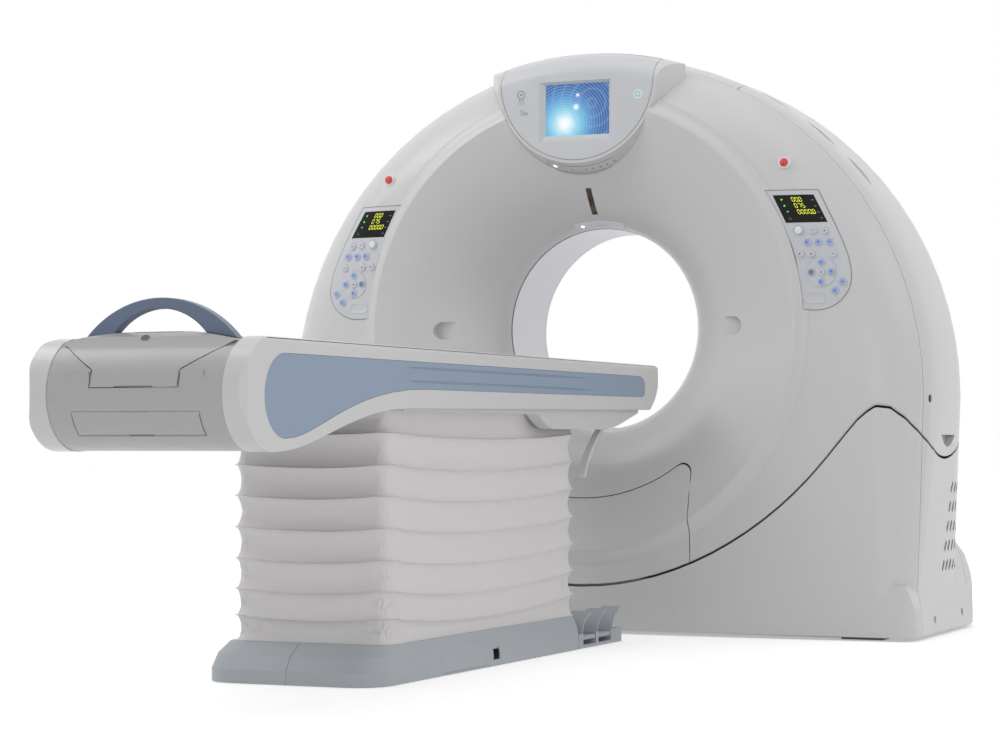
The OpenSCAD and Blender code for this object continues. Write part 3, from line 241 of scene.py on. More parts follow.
# Each plastic's numbers are its roughness, grain, bump, coat, tone patches and metal share, in that order
MAT = {
    "cover_plastic": plastic("cover_white", srgb(214, 214, 214), 0.32, 520, 0.04, 0.2, 0.01, spread=0.03),
    "panel_plastic": plastic("panel_white", srgb(210, 212, 217), 0.32, 700, 0.05, 0.1),
    "grey_plastic": plastic("housing_grey", srgb(184, 182, 182), 0.38, 1100, 0.12, 0.15),
    "plinth_plastic": plastic("plinth_grey", srgb(178, 184, 190), 0.46, 1100, 0.16),
    "blue_plastic": plastic("inlay_blue", srgb(144, 162, 185), 0.42, 700, 0.08, 0.1),
    "handle_plastic": plastic("handle_blue", srgb(103, 119, 145), 0.38, 700, 0.08, 0.15),
    "dark_window": plastic("dark_window", srgb(14, 13, 11), 0.16, 200, 0.01, specular=0.25),
    "screen": screen_material(),
    "light": plastic("strip_lens", srgb(234, 232, 240), 0.22, 300, 0.02, 0.4, 0.01, spread=0.03),
    "lamp_spot": glow("lamp_spot", WHITE, 0.95),
    # Painted shadow: the dark band round the bore's edge
    "bore_shadow": plastic("bore_shadow", srgb(128, 116, 100), 0.6, 900, 0.02),
    "laser_window": plastic("laser_window", srgb(70, 44, 32), 0.14, 200, 0.01, 0.4),
    "keys": plastic("key_white", srgb(232, 234, 240), 0.35, 900, 0.05),
    "stop_red": plastic("stop_red", srgb(224, 62, 52), 0.24, 700, 0.03, 0.4),
    "white_plastic": plastic("white_plastic", srgb(242, 242, 248), 0.32, 700, 0.05, 0.15),
    "bellows_fabric": plastic("bellows_fabric", srgb(230, 227, 228), 0.5, 1500, 0.25, 0.0, 0.015),
    "carbon_top": plastic("carbon_top", srgb(60, 62, 66), 0.3, 900, 0.1, 0.3),
    "frame_paint": plastic("frame_paint", srgb(150, 148, 142), 0.5, 900, 0.12),
    "machined_steel": brushed("machined_steel", srgb(176, 180, 186)),
    "bearing_steel": brushed("bearing_steel", srgb(205, 206, 208), 0.22),
    "dark_metal": plastic("dark_metal", srgb(72, 77, 84), 0.45, 900, 0.14),
    "cast_aluminium": plastic("cast_aluminium", srgb(176, 180, 186), 0.42, 600, 0.2, 0, 0.03, 0.9),
    "copper": plastic("copper", srgb(190, 122, 72), 0.35, 900, 0.15, 0, 0.05, 0.9),
    "key_blue": plastic("key_blue", srgb(158, 182, 240), 0.3, 900, 0.03, 0.2),
    "key_rim": plastic("key_rim", srgb(206, 210, 220), 0.3, 900, 0.03, 0.2),
    "key_print": plastic("key_print", srgb(214, 216, 224), 0.35, 900, 0.03, 0.1),
    "key_dim": plastic("key_dim", srgb(136, 150, 182), 0.35, 900, 0.03, 0.1),
    "sign_ink": plastic("sign_ink", srgb(62, 72, 104), 0.5, 900, 0.02),
    "sign_grey": plastic("sign_grey", srgb(132, 136, 142), 0.5, 900, 0.02),
    "sign_blue": plastic("sign_blue", srgb(112, 120, 146), 0.5, 900, 0.02),
    # Pale print, also used for the painted shadow ring round the knob
    "pale_print_and_shade": plastic("pale_print_and_shade", srgb(190, 196, 208), 0.5, 900, 0.02),
    # Painted shade: the dark lines laid in the seams round the control panels and the display
    "seam": plastic("seam_shadow", srgb(140, 140, 140), 0.6, 900, 0.02),
    # Painted shade: the latch hole and the lines in the seams round the tabletop's end and the pocket
    # door
    "latch_shade": plastic("latch_hole_shade", srgb(112, 106, 94), 0.6, 900, 0.05),
    "cap_grey": plastic("cap_grey", srgb(150, 148, 142), 0.5, 900, 0.05),
    "lit_yellow": glow("lit_yellow", srgb(214, 226, 60), 0.9),
    "lit_green": glow("lit_green", srgb(84, 196, 70), 0.8),
    "soft_green": glow("soft_green", srgb(150, 222, 178), 0.75),
}


# ---------------------------------------------------------------- shading of the CAD nodes

# Angles of edges that stay sharp and of those that get a bevel, and how near points are joined
CREASE, BEVELLED_FROM, MERGE_WITHIN = math.radians(24), math.radians(35), 2e-5
SLOT_OF = {s["node"]: s["material_slot"] for s in frame["record"]["subparts"]}
FINE_EDGE, GRIP_EDGE = 0.0015, 0.009
BEVEL = dict.fromkeys(("foot_housing", "pocket_door", "tabletop_end", "plinth_cover", "plinth_door",
                       "pedal_housing", "couch_side_cover_left", "couch_side_cover_right",
                       "side_inlays", "head_under_cover"), FINE_EDGE)
BEVEL["tabletop_handle"] = GRIP_EDGE


def soften_group(angle):
    """Joins split vertices, then shades smooth everywhere but on edges sharper than angle."""
    group = bpy.data.node_groups.new("soften", "GeometryNodeTree")
    group.interface.new_socket("Geometry", in_out="INPUT", socket_type="NodeSocketGeometry")
    group.interface.new_socket("Geometry", in_out="OUTPUT", socket_type="NodeSocketGeometry")
    start, end = group.nodes.new("NodeGroupInput"), group.nodes.new("NodeGroupOutput")
    merge = settings(group.nodes.new("GeometryNodeMergeByDistance"), Distance=MERGE_WITHIN)
    faces = settings(group.nodes.new("GeometryNodeSetShadeSmooth"), domain="FACE")
    edges = settings(group.nodes.new("GeometryNodeSetShadeSmooth"), domain="EDGE", Shade_Smooth=False)
    turn = group.nodes.new("GeometryNodeInputMeshEdgeAngle")
    sharper = settings(group.nodes.new("FunctionNodeCompare"), operation="GREATER_THAN", B=angle)
    group.links.new(start.outputs[0], merge.inputs["Geometry"])
    group.links.new(merge.outputs["Geometry"], faces.inputs["Geometry"])
    group.links.new(turn.outputs["Unsigned Angle"], sharper.inputs["A"])
    group.links.new(sharper.outputs["Result"], edges.inputs["Selection"])
    group.links.new(faces.outputs["Geometry"], edges.inputs["Geometry"])
    group.links.new(edges.outputs["Geometry"], end.inputs[0])
    return group


def shade_nodes():
    """Gives each CAD node its material, smooth shading and, where it has one, a small bevel."""
    soften = soften_group(CREASE)
    for name, obj in NODES.items():
        obj.data.materials.clear()
        obj.data.materials.append(MAT[SLOT_OF[name]])
        bpy.context.view_layer.objects.active = obj
        if obj.data.has_custom_normals:
            bpy.ops.mesh.customdata_custom_splitnormals_clear()
        obj.modifiers.new("soften", "NODES").node_group = soften
        if name in BEVEL:
            bevel = obj.modifiers.new("bevel", "BEVEL")
            bevel.width = BEVEL[name]
            bevel.segments = 2
            bevel.limit_method = "ANGLE"
            bevel.angle_limit = BEVELLED_FROM
            bevel.harden_normals = True


# ---------------------------------------------------------------- helpers for pieces

# A painted mark's height above its surface, and the points round a turned form and an oval one
LIFT, ROUND_POINTS, OVAL_POINTS = 0.0004, 28, 40


def ring(cx, cz, r, n):
    """n points round a circle."""
    return [(cx + r * math.cos(math.tau * i / n), cz + r * math.sin(math.tau * i / n)) for i in range(n)]


def bar(width, height):
    """A rectangle about its middle."""
    return [(a * width / 2, b * height / 2) for a, b in ((-1, -1), (1, -1), (1, 1), (-1, 1))]


def moved(at, outline):
    """An outline drawn about another point."""
    return [(at[0] + a, at[1] + b) for a, b in outline]


def bands(n, count, base=0):
    """Four-sided faces between each of count rings of n points and the next ring."""
    return [(base + k * n + i, base + k * n + (i + 1) % n,
             base + (k + 1) * n + (i + 1) % n, base + (k + 1) * n + i)
            for k in range(count - 1) for i in range(n)]


def mesh_piece(name, verts, faces, material, body, smooth=True):
    """A new visible piece. Without a body it is left to the caller to say how it moves."""
    mesh = bpy.data.meshes.new(name)
    mesh.from_pydata([tuple(v) for v in verts], [], faces)
    mesh.update()
    obj = bpy.data.objects.new(name, mesh)
    bpy.context.scene.collection.objects.link(obj)
    mesh.materials.append(material)
    if smooth:
        mesh.shade_smooth()
    if body:
        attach(obj, body)
    return obj


class Surface:
    """The outside of some CAD nodes, met by rays. Those from the couch side start at y0."""

    def __init__(self, *names, y0=BEFORE_GANTRY):
        self.y0 = y0
        verts, faces = [], []
        for n in names:
            obj = NODES[n]
            base = len(verts)
            verts += [obj.matrix_world @ v.co for v in obj.data.vertices]
            faces += [[base + i for i in p.vertices] for p in obj.data.polygons]
        self.tree = BVHTree.FromPolygons(verts, faces)

    def hit(self, start, direction):
        """The point that a ray meets first, and its normal on the ray's side."""
        point, normal, _, _ = self.tree.ray_cast(Vector(start), Vector(direction))
        if point is None:
            raise ValueError(f"nothing from {start} along {direction}")
        return point, (normal if normal.dot(Vector(direction)) < 0 else -normal)

    def at(self, x, z):
        """The point and outward normal met from the couch side at x, z."""
        return self.hit((x, self.y0, z), (0, 1, 0))

    def from_side(self, side, y, z):
        """The point and outward normal met at y, z from the left, -1, or the right, 1."""
        return self.hit((side * BESIDE, y, z), (-side, 0, 0))

    def from_above(self, x, y):
        """The height of the nodes at x, y."""
        return self.hit((x, y, OVERHEAD), (0, 0, -1))[0].z

    def covers(self, x, z):
        """Whether the nodes are there at x, z, as seen from the couch side."""
        return self.tree.ray_cast(Vector((x, self.y0, z)), Vector((0, 1, 0)))[0] is not None

    def edge(self, cx, cz, reach, n, inset):
        """The outline of the nodes as seen from the couch side, all round a point inside it."""
        step, halvings = 0.004, 7
        line = []
        for dx, dz in ring(0, 0, 1, n):
            out = reach
            while out > 0 and not self.covers(cx + dx * out, cz + dz * out):
                out -= step
            inside, outside = out, out + step
            for _ in range(halvings):
                mid = (inside + outside) / 2
                if self.covers(cx + dx * mid, cz + dz * mid):
                    inside = mid
                else:
                    outside = mid
            line.append((cx + dx * (inside - inset), cz + dz * (inside - inset)))
        return line


class Batch:
    """Small forms of one material, gathered into one piece."""

    def __init__(self):
        self.verts, self.faces = [], []

    def flat(self, points):
        """One flat face."""
        base = len(self.verts)
        self.verts += points
        self.faces.append(list(range(base, base + len(points))))

    def rings(self, points, n, lid=True):
        """Rings of n points each, joined one to the next, with a lid on the last."""
        base, count = len(self.verts), len(points) // n
        self.verts += points
        self.faces += bands(n, count, base)
        if lid:
            self.faces.append([base + (count - 1) * n + i for i in range(n)])

    def turned(self, at, normal, profile, lid=True):
        """A form of revolution on a point: profile of radius and height along the normal."""
        q = normal.to_track_quat("Z", "Y")
        points = [at + q @ Vector((a, b, h)) for r, h in profile for a, b in ring(0, 0, r, ROUND_POINTS)]
        self.rings(points, ROUND_POINTS, lid)

    def print_on(self, at, normal, outline, lift=LIFT):
        """A small flat mark on the plane that touches a point: its outline lies in that plane."""
        q = normal.to_track_quat("Z", "Y")
        self.flat([at + q @ Vector((a, b, lift)) for a, b in outline])

    def drape(self, surface, outline):
        """A thin painted mark: an outline of x, z points laid on a surface."""
        hits = [surface.at(x, z) for x, z in outline]
        self.flat([p + n * LIFT for p, n in hits])

    def pad(self, surface, cx, cz, rx, rz, profile):
        """A low oval form on a surface: profile of scale and height."""
        straight = max(0.0, rx - rz)
        points = []
        for k, h in profile:
            for x, z in ring(0, 0, 1, OVAL_POINTS):
                side = math.copysign(straight, x) if abs(x) > 1e-6 else 0.0
                p, normal = surface.at(cx + side + x * rz * k, cz + z * rz * k)
                points.append(p + normal * h)
        self.rings(points, OVAL_POINTS)

    def stroke(self, surface, line, width, closed=False):
        """A thin painted line through x, z points, left out where it runs off the surface."""
        pts = [Vector(p) for p in line]
        n = len(pts)
        sides = []
        for i, p in enumerate(pts):
            before = pts[(i - 1) % n] if closed or i else p
            after = pts[(i + 1) % n] if closed or i < n - 1 else p
            along = (after - before).normalized()
            across = Vector((-along.y, along.x)) * width / 2
            sides.append((p + across, p - across))
        for i in range(n if closed else n - 1):
            (a, b), (c, d) = sides[i], sides[(i + 1) % n]
            if all(surface.covers(x, z) for x, z in (a, b, c, d)):
                self.drape(surface, [a, c, d, b])

    def piece(self, name, material, body, smooth=True):
        """The gathered forms as one piece that rides on a body."""
        return mesh_piece(name, self.verts, self.faces, material, body, smooth)


# ---------------------------------------------------------------- bellows

# Heights of the ridges, as shares of the sleeve's height, and of the rows of points in each fold
RIDGES = (0, 0.098, 0.212, 0.342, 0.478, 0.613, 0.746, 0.884, 1)
FOLD_ROWS = (0, 0.014, 0.034, 0.06, 0.1, 0.15, 0.22, 0.3, 0.4, 0.5, 0.6, 0.7, 0.79, 0.86, 0.91, 0.945,
             0.966, 0.986)
# The sleeve's corner radius, the hollow of a fold, the welded lip on a ridge and the gap over the sleeve
SLEEVE_CORNER, FOLD_DEPTH, WELDED_LIP, SLEEVE_TOP_GAP = 0.045, 0.019, 0.0026, 0.0001
# How far a fold hangs midway along a side, and how far it stands up at a corner
SAG, RISE = 0.024, 0.006
# Depths of the cloth's waves, pleats and puckers, and the height of its ripple
SLOW_WAVE, PLEAT, PUCKER, RIPPLE = 0.003, 0.0012, 0.0085, 0.0016
CLOTH_CREASE = math.radians(50)


def bellows_path(hx, hy):
    """Round the sleeve: place, direction outward, nearness to a corner and freedom to sag."""
    corner_points, step, corner_reach = 20, 0.0085, 0.07
    long_side, short_side_freedom = 0.6, 0.35
    corners = ((hx, hy), (-hx, hy), (-hx, -hy), (hx, -hy))
    path = []
    for k, (cx, cy) in enumerate(corners):
        turn = 90 * k
        for i in range(corner_points + 1):
            path.append((cx, cy, math.radians(turn + 90 * i / corner_points), 1, 0))
        nx, ny = corners[(k + 1) % 4]
        length = math.hypot(nx - cx, ny - cy)
        freedom = 1 if length > long_side else short_side_freedom
        n = int(length / step)
        for i in range(1, n):
            f = i / n
            near = math.exp(-((min(f, 1 - f) * length) / corner_reach) ** 2)
            path.append((cx + (nx - cx) * f, cy + (ny - cy) * f, math.radians(turn + 90), near,
                         (4 * f * (1 - f)) ** 0.8 * freedom))
    return path


def cloth_row(path, cy, z, fold, t, h):
    """One row of the cloth's points, at share t of its fold's height and h of the sleeve's.

    Between its welded ridges the cloth lies back in a hollow, with slow waves and, towards the
    corners, pleats and sharp puckers. It droops most midway along a side.
    """
    full = math.sin(math.pi * t) if t else 0
    inside = 0 < h < 1
    lip = WELDED_LIP if inside and t in (0, FOLD_ROWS[1], FOLD_ROWS[-1]) else 0
    creased = max(0.25, 1 - fold / 7)
    free = math.sin(math.pi * min(1, (1 - h) ** 0.45) * 0.5) * min(1, h / RIDGES[1])
    row = []
    for px, py, a, corner, along in path:
        nx, ny = math.cos(a), math.sin(a)
        x, y = px + nx * SLEEVE_CORNER, py + ny * SLEEVE_CORNER
        slow = noise.noise(Vector((x * 3.1, y * 3.1, z * 5 + fold * 3.7))) * SLOW_WAVE
        pleat = noise.noise(Vector((x * 17, y * 17, z * 34 + fold))) * PLEAT * (0.35 + corner)
        fine = noise.noise(Vector((x * 34 + z * 26, y * 34 - z * 30, z * 30 + fold * 9)))
        pucker = max(0.0, 1 - abs(fine) * 3.2) ** 2 * PUCKER * corner * creased
        hollow = FOLD_DEPTH * full ** 0.5 * (1 - 0.18 * corner)
        out = SLEEVE_CORNER - (max(hollow + full * (slow + pleat + pucker), 0) - lip)
        wave = RIPPLE * noise.noise(Vector((x * 6, y * 6, fold * 5.3))) if inside else 0
        droop = free * (RISE * (1 - along) - SAG * along)
        row.append((px + nx * out, cy + py + ny * out, z + droop + wave * (1 - full * 0.5)))
    return row


def bellows():
    """Cloth skin in eight folds: welded lips, hollow between, sagging midway, puckered at corners."""
    (_, y0, z0), (half_x, y1, top) = place("bellows")
    z1 = top - SLEEVE_TOP_GAP
    cy = (y0 + y1) / 2
    path = bellows_path(half_x - SLEEVE_CORNER, (y1 - y0) / 2 - SLEEVE_CORNER)
    folds = len(RIDGES) - 1
    rows = [(f, t, RIDGES[f] + (RIDGES[f + 1] - RIDGES[f]) * t) for f in range(folds) for t in FOLD_ROWS]
    rows.append((folds, 0, 1.0))
    verts = []
    for fold, t, h in rows:
        verts += cloth_row(path, cy, z0 + h * (z1 - z0), fold, t, h)
    faces = bands(len(path), len(rows))
    obj = mesh_piece("bellows_cloth", verts, faces, MAT["bellows_fabric"], None)
    obj.data.set_sharp_from_angle(angle=CLOTH_CREASE)
    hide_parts("bellows")
    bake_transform(obj)


# ---------------------------------------------------------------- control panels

# Places on the right-hand panel, in x and z. The left-hand one mirrors them.
KNOB = middle("volume_knob_right")
PANEL = (0.800, 1.280)
PAD = (0.857, 1.203)
BLUE_KEYS = ((0.810, 1.302), (0.846, 1.302), (0.883, 1.302), (0.857, 1.235), (0.857, 1.171),
             (0.890, 1.203), (0.927, 1.170), (0.903, 1.141))
WHITE_KEYS = ((0.829, 1.341), (0.866, 1.339), (0.787, 1.264), (0.823, 1.263), (0.896, 1.262), PAD)
DIM_KEYS = ((0.824, 1.203),)
# Profiles: radius and height of a cap and of its rim, scale and height of the bare raised oval
CAP = ((0.0100, 0.0002), (0.0100, 0.0009), (0.0092, 0.0013), (0.0055, 0.0011), (0.001, 0.0010))
KEY_RING = ((0.0128, 0.0001), (0.0124, 0.0010), (0.0112, 0.0012), (0.0104, 0.0003))
OVAL = ((1, 0.0), (0.97, 0.0016), (0.9, 0.0022), (0.84, 0.0012), (0.3, 0.0012))
OVAL_AT, OVAL_HALF = (0.836, 1.118), (0.0375, 0.018)
# Outlines of the signs printed on the keys: bar, arrowhead, block and diamond
KEY_SIGNS = (bar(.008, .002), [(-.0035, -.0025), (.0035, -.0025), (0, .0035)],
             moved((-.0012, 0), bar(.004, .0064)), [(0, -.0035), (.0035, 0), (0, .0035), (-.0035, 0)])
KEY_SIGN_LIFT = 0.0015


def key_caps():
    """Round caps of the keys, each in a low rim, with a small plain sign printed on each."""
    keys = Surface("keypads", "control_panels")
    for label, places, colour in (("blue", BLUE_KEYS, MAT["key_blue"]),
                                  ("white", WHITE_KEYS, MAT["key_print"]),
                                  ("dim", DIM_KEYS, MAT["key_dim"])):
        caps = Batch()
        for s in SIDES:
            for x, z in places:
                caps.turned(*keys.at(s * x, z), CAP)
        caps.piece("key_caps_" + label, colour, "tilt")
    rims, signs = Batch(), Batch()
    for s in SIDES:
        for x, z in BLUE_KEYS + WHITE_KEYS + DIM_KEYS:
            rims.turned(*keys.at(s * x, z), KEY_RING, lid=False)
        for i, (x, z) in enumerate(WHITE_KEYS + BLUE_KEYS + DIM_KEYS):
            signs.print_on(*keys.at(s * x, z), KEY_SIGNS[i % len(KEY_SIGNS)], KEY_SIGN_LIFT)
    rims.piece("key_rims", MAT["key_rim"], "tilt")
    signs.piece("key_signs", MAT["sign_ink"], "tilt", False)


def panel_trim():
    """Painted shade inside each panel's edge and round the knob, a line round the arrow keys, and the
    bare oval.
    """
    face = Surface("front_cover", "control_panels")
    panels = Surface("control_panels")
    edge_shade, line, oval, knob_shade = Batch(), Batch(), Batch(), Batch()
    for s in SIDES:
        # Painted shade: a dark line just inside each panel's edge, where shade falls in the seam
        outline = panels.edge(s * PANEL[0], PANEL[1], reach=0.26, n=160, inset=0.0016)
        edge_shade.stroke(panels, outline, width=0.0020, closed=True)
        line.stroke(face, ring(s * PAD[0], PAD[1], r=0.0500, n=64), width=0.0014, closed=True)
        # Painted shadow: a darker ring on the panel round the knob
        knob_shade.stroke(face, ring(s * KNOB[0], KNOB[1], r=0.0178, n=40), width=0.0024, closed=True)
        oval.pad(face, s * OVAL_AT[0], OVAL_AT[1], *OVAL_HALF, OVAL)
    edge_shade.piece("panel_edge_shade", MAT["seam"], "tilt", False)
    knob_shade.piece("knob_shadow_ring", MAT["pale_print_and_shade"], "tilt", False)
    line.piece("arrow_key_line", MAT["pale_print_and_shade"], "tilt", False)
    oval.piece("panel_oval", MAT["panel_plastic"], "tilt")


# ---------------------------------------------------------------- readouts

# The window's inner and outer edge at its top and at its foot, in x
WINDOW_TOP, WINDOW_FOOT = (0.692, 0.824), (0.738, 0.874)
# Segments of a figure on a unit cell, clockwise from the top one, and then the middle one
SEGMENTS = (((.12, 1), (.88, 1)), ((1, .92), (1, .56)), ((1, .44), (1, .08)), ((.88, 0), (.12, 0)),
            ((0, .08), (0, .44)), ((0, .56), (0, .92)), ((.14, .5), (.86, .5)))
FIGURES = {"0": (0, 1, 2, 3, 4, 5), "5": (0, 5, 6, 2, 3), "7": (0, 1, 2)}
# Lines of figures, points, bars and signs, as shares of the window's width and height from its top left
FIGURE_LINES = (("00.0", .09), ("075", .315), ("0000.0", .54))
FIGURES_AT, FIGURE_W, FIGURE_H, FIGURE_STEP = .42, .056, .150, .090
POINT_LEFT, POINT_RIGHT, POINT_TOP, POINT_FOOT = -.022, -.006, .145, .17
BARS_LEFT, BARS_RIGHT, BAR_H, BARS_AT = .89, .94, .03, (.18, .40, .62, .84)
SIGNS_AT, POINTER_AT, DOT_AT, HAND_AT, ZIGZAG_AT = .165, .17, .39, .60, .84
# Small signs before the lines, in metres about their middles
POINTER = [(-.0045, .003), (.0045, .003), (0, -.0045)]
HAND = [(-.0045, -.001), (.004, .003), (.0045, -.004), (.0015, -.001)]
ZIGZAG = [(-.005, -.004), (-.002, .004), (.001, -.004), (.005, -.004)]


def readouts():
    """Plain figures of the position readouts, with a small sign before and a bar after each line."""
    glass = Surface("readout_windows")
    (_, _, foot), (_, _, top) = place("readout_windows")
    lit, green, dull = Batch(), Batch(), Batch()
    for s in SIDES:
        (l0, r0), (l1, r1) = [sorted((s * a, s * b)) for a, b in (WINDOW_TOP, WINDOW_FOOT)]

        def at(u, v):
            """The x and z at shares of the window's width and height."""
            left, right = l0 + (l1 - l0) * v, r0 + (r1 - r0) * v
            return left + (right - left) * u, top - (top - foot) * v

        def box(u0, u1, v0, v1):
            """The corners of a small box at such shares."""
            return [at(u0, v0), at(u1, v0), at(u1, v1), at(u0, v1)]

        for text, v in FIGURE_LINES:
            u = FIGURES_AT
            for ch in text:
                if ch == ".":
                    lit.drape(glass, box(u + POINT_LEFT, u + POINT_RIGHT, v + POINT_FOOT, v + POINT_TOP))
                    continue
                for k in FIGURES[ch]:
                    ends = [at(u + a * FIGURE_W, v + (1 - b) * FIGURE_H) for a, b in SEGMENTS[k]]
                    lit.stroke(glass, ends, width=0.0017)
                u += FIGURE_STEP
        for v in BARS_AT:
            dull.drape(glass, box(BARS_LEFT, BARS_RIGHT, v + BAR_H, v))
        green.drape(glass, moved(at(SIGNS_AT, POINTER_AT), POINTER))
        green.drape(glass, ring(*at(SIGNS_AT, DOT_AT), r=0.0033, n=16))
        green.drape(glass, moved(at(SIGNS_AT, HAND_AT), HAND))
        dull.stroke(glass, moved(at(SIGNS_AT, ZIGZAG_AT), ZIGZAG), width=0.0014)
    lit.piece("readout_figures", MAT["lit_yellow"], "tilt", False)
    green.piece("readout_signs", MAT["lit_green"], "tilt", False)
    dull.piece("readout_print", MAT["sign_grey"], "tilt", False)


# ---------------------------------------------------------------- display and bore

# Places of two plain signs and a light on the display, and the signs' lines about those places
ROUND_SIGN, FLAT_SIGN, READY_LIGHT = (-0.203, 1.838), (-0.193, 1.777), (0.224, 1.820)
CROSS = ([(-.006, .004), (.006, -.004)], [(-.006, -.004), (.006, .004)])
CUP = [(-.007, -.014), (-.007, -.021), (.007, -.021), (.007, -.014)]
RAYS = [[(k * .008, -.025), (k * .011, -.034)] for k in (-1, 0, 1)]
STEPPED_BOX = [(-.011, .009), (-.004, .009), (-.004, -.003), (.013, -.003), (.013, -.008),
               (-.011, -.008)]
TEETH = [[(.0005 + k * .0034, -.003), (.0005 + k * .0034, .0005)] for k in range(4)]
DISPLAY_MIDDLE = (0, 1.775)
# The lip below the display: its arcs share one middle, and angles are degrees from straight down
LIP_MIDDLE_Z, LIP_ARCS, LIP_HALF_ANGLE, LIP_POINTS = 1.886, (0.300, 0.317), 24, 40
LIP_MARKS, LIP_MARKS_R = (-23, -6, 3, 8, 13, 18, 23), 0.309
LIP_LIGHT_R, LIP_LIGHT_ANGLE = 0.308, -18
LIP_LAMP = ((0.0075, 0.0), (0.0075, 0.0008), (0.004, 0.0016), (0.001, 0.0018))
# The lamp strip: its lamp, and marks of x and width
STRIP_SPOT, STRIP_MARKS_Z, STRIP_MARK_H = (-0.062, 1.3955), 1.3990, 0.0024
STRIP_MARKS = ((-0.030, .004), (-0.004, .009), (0.006, .005), (0.018, .007), (0.030, .003))
STRIP_LAMP = ((0.0065, 0.0), (0.0060, 0.0010), (0.003, 0.0018), (0.0008, 0.0020))
# The shadow line round the bore's edge, as y and radius of its two sides
BORE_SHADOW, BORE_POINTS = ((-0.1555, 0.3502), (-0.1480, 0.3494)), 160


def on_lip(r, degrees):
    """A point of the lip, at a radius and an angle from straight down."""
    a = math.radians(degrees)
    return r * math.sin(a), LIP_MIDDLE_Z - r * math.cos(a)


def display_signs():
    """Printed signs, the ready light, a line of painted shade round the display's edge, and the marks and
    light on its lip.
    """
    face = Surface("display_panel")
    ink = Batch()
    ink.stroke(face, ring(*ROUND_SIGN, r=0.0135, n=28), width=0.0022, closed=True)
    for line in (*CROSS, CUP):
        ink.stroke(face, moved(ROUND_SIGN, line), width=0.0018)
    for line in RAYS:
        ink.stroke(face, moved(ROUND_SIGN, line), width=0.0016)
    ink.stroke(face, moved(FLAT_SIGN, STEPPED_BOX), width=0.0018, closed=True)
    for line in TEETH:
        ink.stroke(face, moved(FLAT_SIGN, line), width=0.0012)
    ink.piece("display_print", MAT["sign_blue"], "tilt", False)
    ready = Batch()
    ready.stroke(face, ring(*READY_LIGHT, r=0.0140, n=40), width=0.0020, closed=True)
    ready.drape(face, ring(*READY_LIGHT, r=0.0026, n=18))
    ready.piece("ready_light", MAT["soft_green"], "tilt", False)
    # Painted shade: a dark line just inside the display's edge, where shade falls in the seam
    edge_shade = Batch()
    outline = face.edge(*DISPLAY_MIDDLE, reach=0.34, n=220, inset=0.0014)
    edge_shade.stroke(face, outline, width=0.0016, closed=True)
    edge_shade.piece("display_edge_shade", MAT["seam"], "tilt", False)

    lip = Surface("display_housing")
    marks = Batch()
    turns = [LIP_HALF_ANGLE * (2 * i / LIP_POINTS - 1) for i in range(LIP_POINTS + 1)]
    low, high = LIP_ARCS
    edge = [on_lip(low, turn) for turn in turns] + [on_lip(high, -turn) for turn in turns]
    marks.stroke(lip, edge, width=0.0010, closed=True)
    for degrees in LIP_MARKS:
        marks.drape(lip, ring(*on_lip(LIP_MARKS_R, degrees), r=0.0024, n=10))
    marks.piece("lip_print", MAT["sign_grey"], "tilt", False)
    spot = Batch()
    spot.turned(*lip.at(*on_lip(LIP_LIGHT_R, LIP_LIGHT_ANGLE)), LIP_LAMP)
    spot.piece("lip_light", MAT["lamp_spot"], "tilt")


def display_back():
    """A closing strip behind the display's raised upper edge, down to the cover below it."""
    half, front, back, n = 0.329, -0.3025, -0.2998, 48
    # Rays fall beside the strip. Its foot is sunk in the cover, and its top stays under the edge.
    probe, sunk, under_edge = 0.001, 0.002, 0.0008
    cover = Surface("front_cover", "top_cover")
    edge = Surface("display_panel", "display_housing")
    verts = []
    for i in range(n + 1):
        x = -half + 2 * half * i / n
        low = cover.from_above(x, front - probe) - sunk
        high = edge.from_above(x, front + probe) - under_edge
        verts += [(x, front, low), (x, back, low), (x, back, high), (x, front, high)]
    ends = [(3, 2, 1, 0), tuple(range(4 * n, 4 * n + 4))]
    faces = bands(4, n + 1) + ends
    obj = mesh_piece("display_back_strip", verts, faces, MAT["cover_plastic"], "tilt", False)


def bore_strip():
    """The lamp and marks of the strip over the bore, and the shadow line round the bore's edge."""
    lens = Surface("light_strips", "front_cover")
    spot, marks, edge_shade = Batch(), Batch(), Batch()
    spot.turned(*lens.at(*STRIP_SPOT), STRIP_LAMP)
    spot.piece("strip_lamp", MAT["lamp_spot"], "tilt")
    for x, width in STRIP_MARKS:
        marks.print_on(*lens.at(x, STRIP_MARKS_Z), bar(width, STRIP_MARK_H))
    marks.piece("strip_marks", MAT["sign_grey"], "tilt", False)
    # Painted shadow: a dark band just inside the bore's edge, where the cover's lip meets the liner
    points = [(x, y, z) for y, r in BORE_SHADOW for x, z in ring(0, ISO, r, BORE_POINTS)]
    edge_shade.rings(points, BORE_POINTS, lid=False)
    edge_shade.piece("bore_edge_shade", MAT["bore_shadow"], "tilt")


# ---------------------------------------------------------------- covers and foot end

# Screws on the right-hand side: y and z on the flank, x and z on the front
SIDE_SCREWS = ((-0.076, 0.056), (0.302, 0.060))
FRONT_SCREWS = (("service_cover", 0.334, 0.255, "tilt"), ("lower_front_cover", 0.334, 0.053, "base"))
DISH = ((0.0125, 0.0003), (0.0122, 0.0007), (0.0105, 0.0003), (0.001, 0.0002))
LOW_DOME = ((0.0105, 0.0), (0.0095, 0.0012), (0.006, 0.0018), (0.001, 0.0019))
# The latch hole, and points inside the outlines of the tabletop's end and of the pocket door, in x and z
LATCH_AT, LATCH_HALF = (-0.009, 0.8995), (0.0125, 0.0085)
END_MIDDLE, DOOR_MIDDLE = (0, 0.84), (0, 0.692)


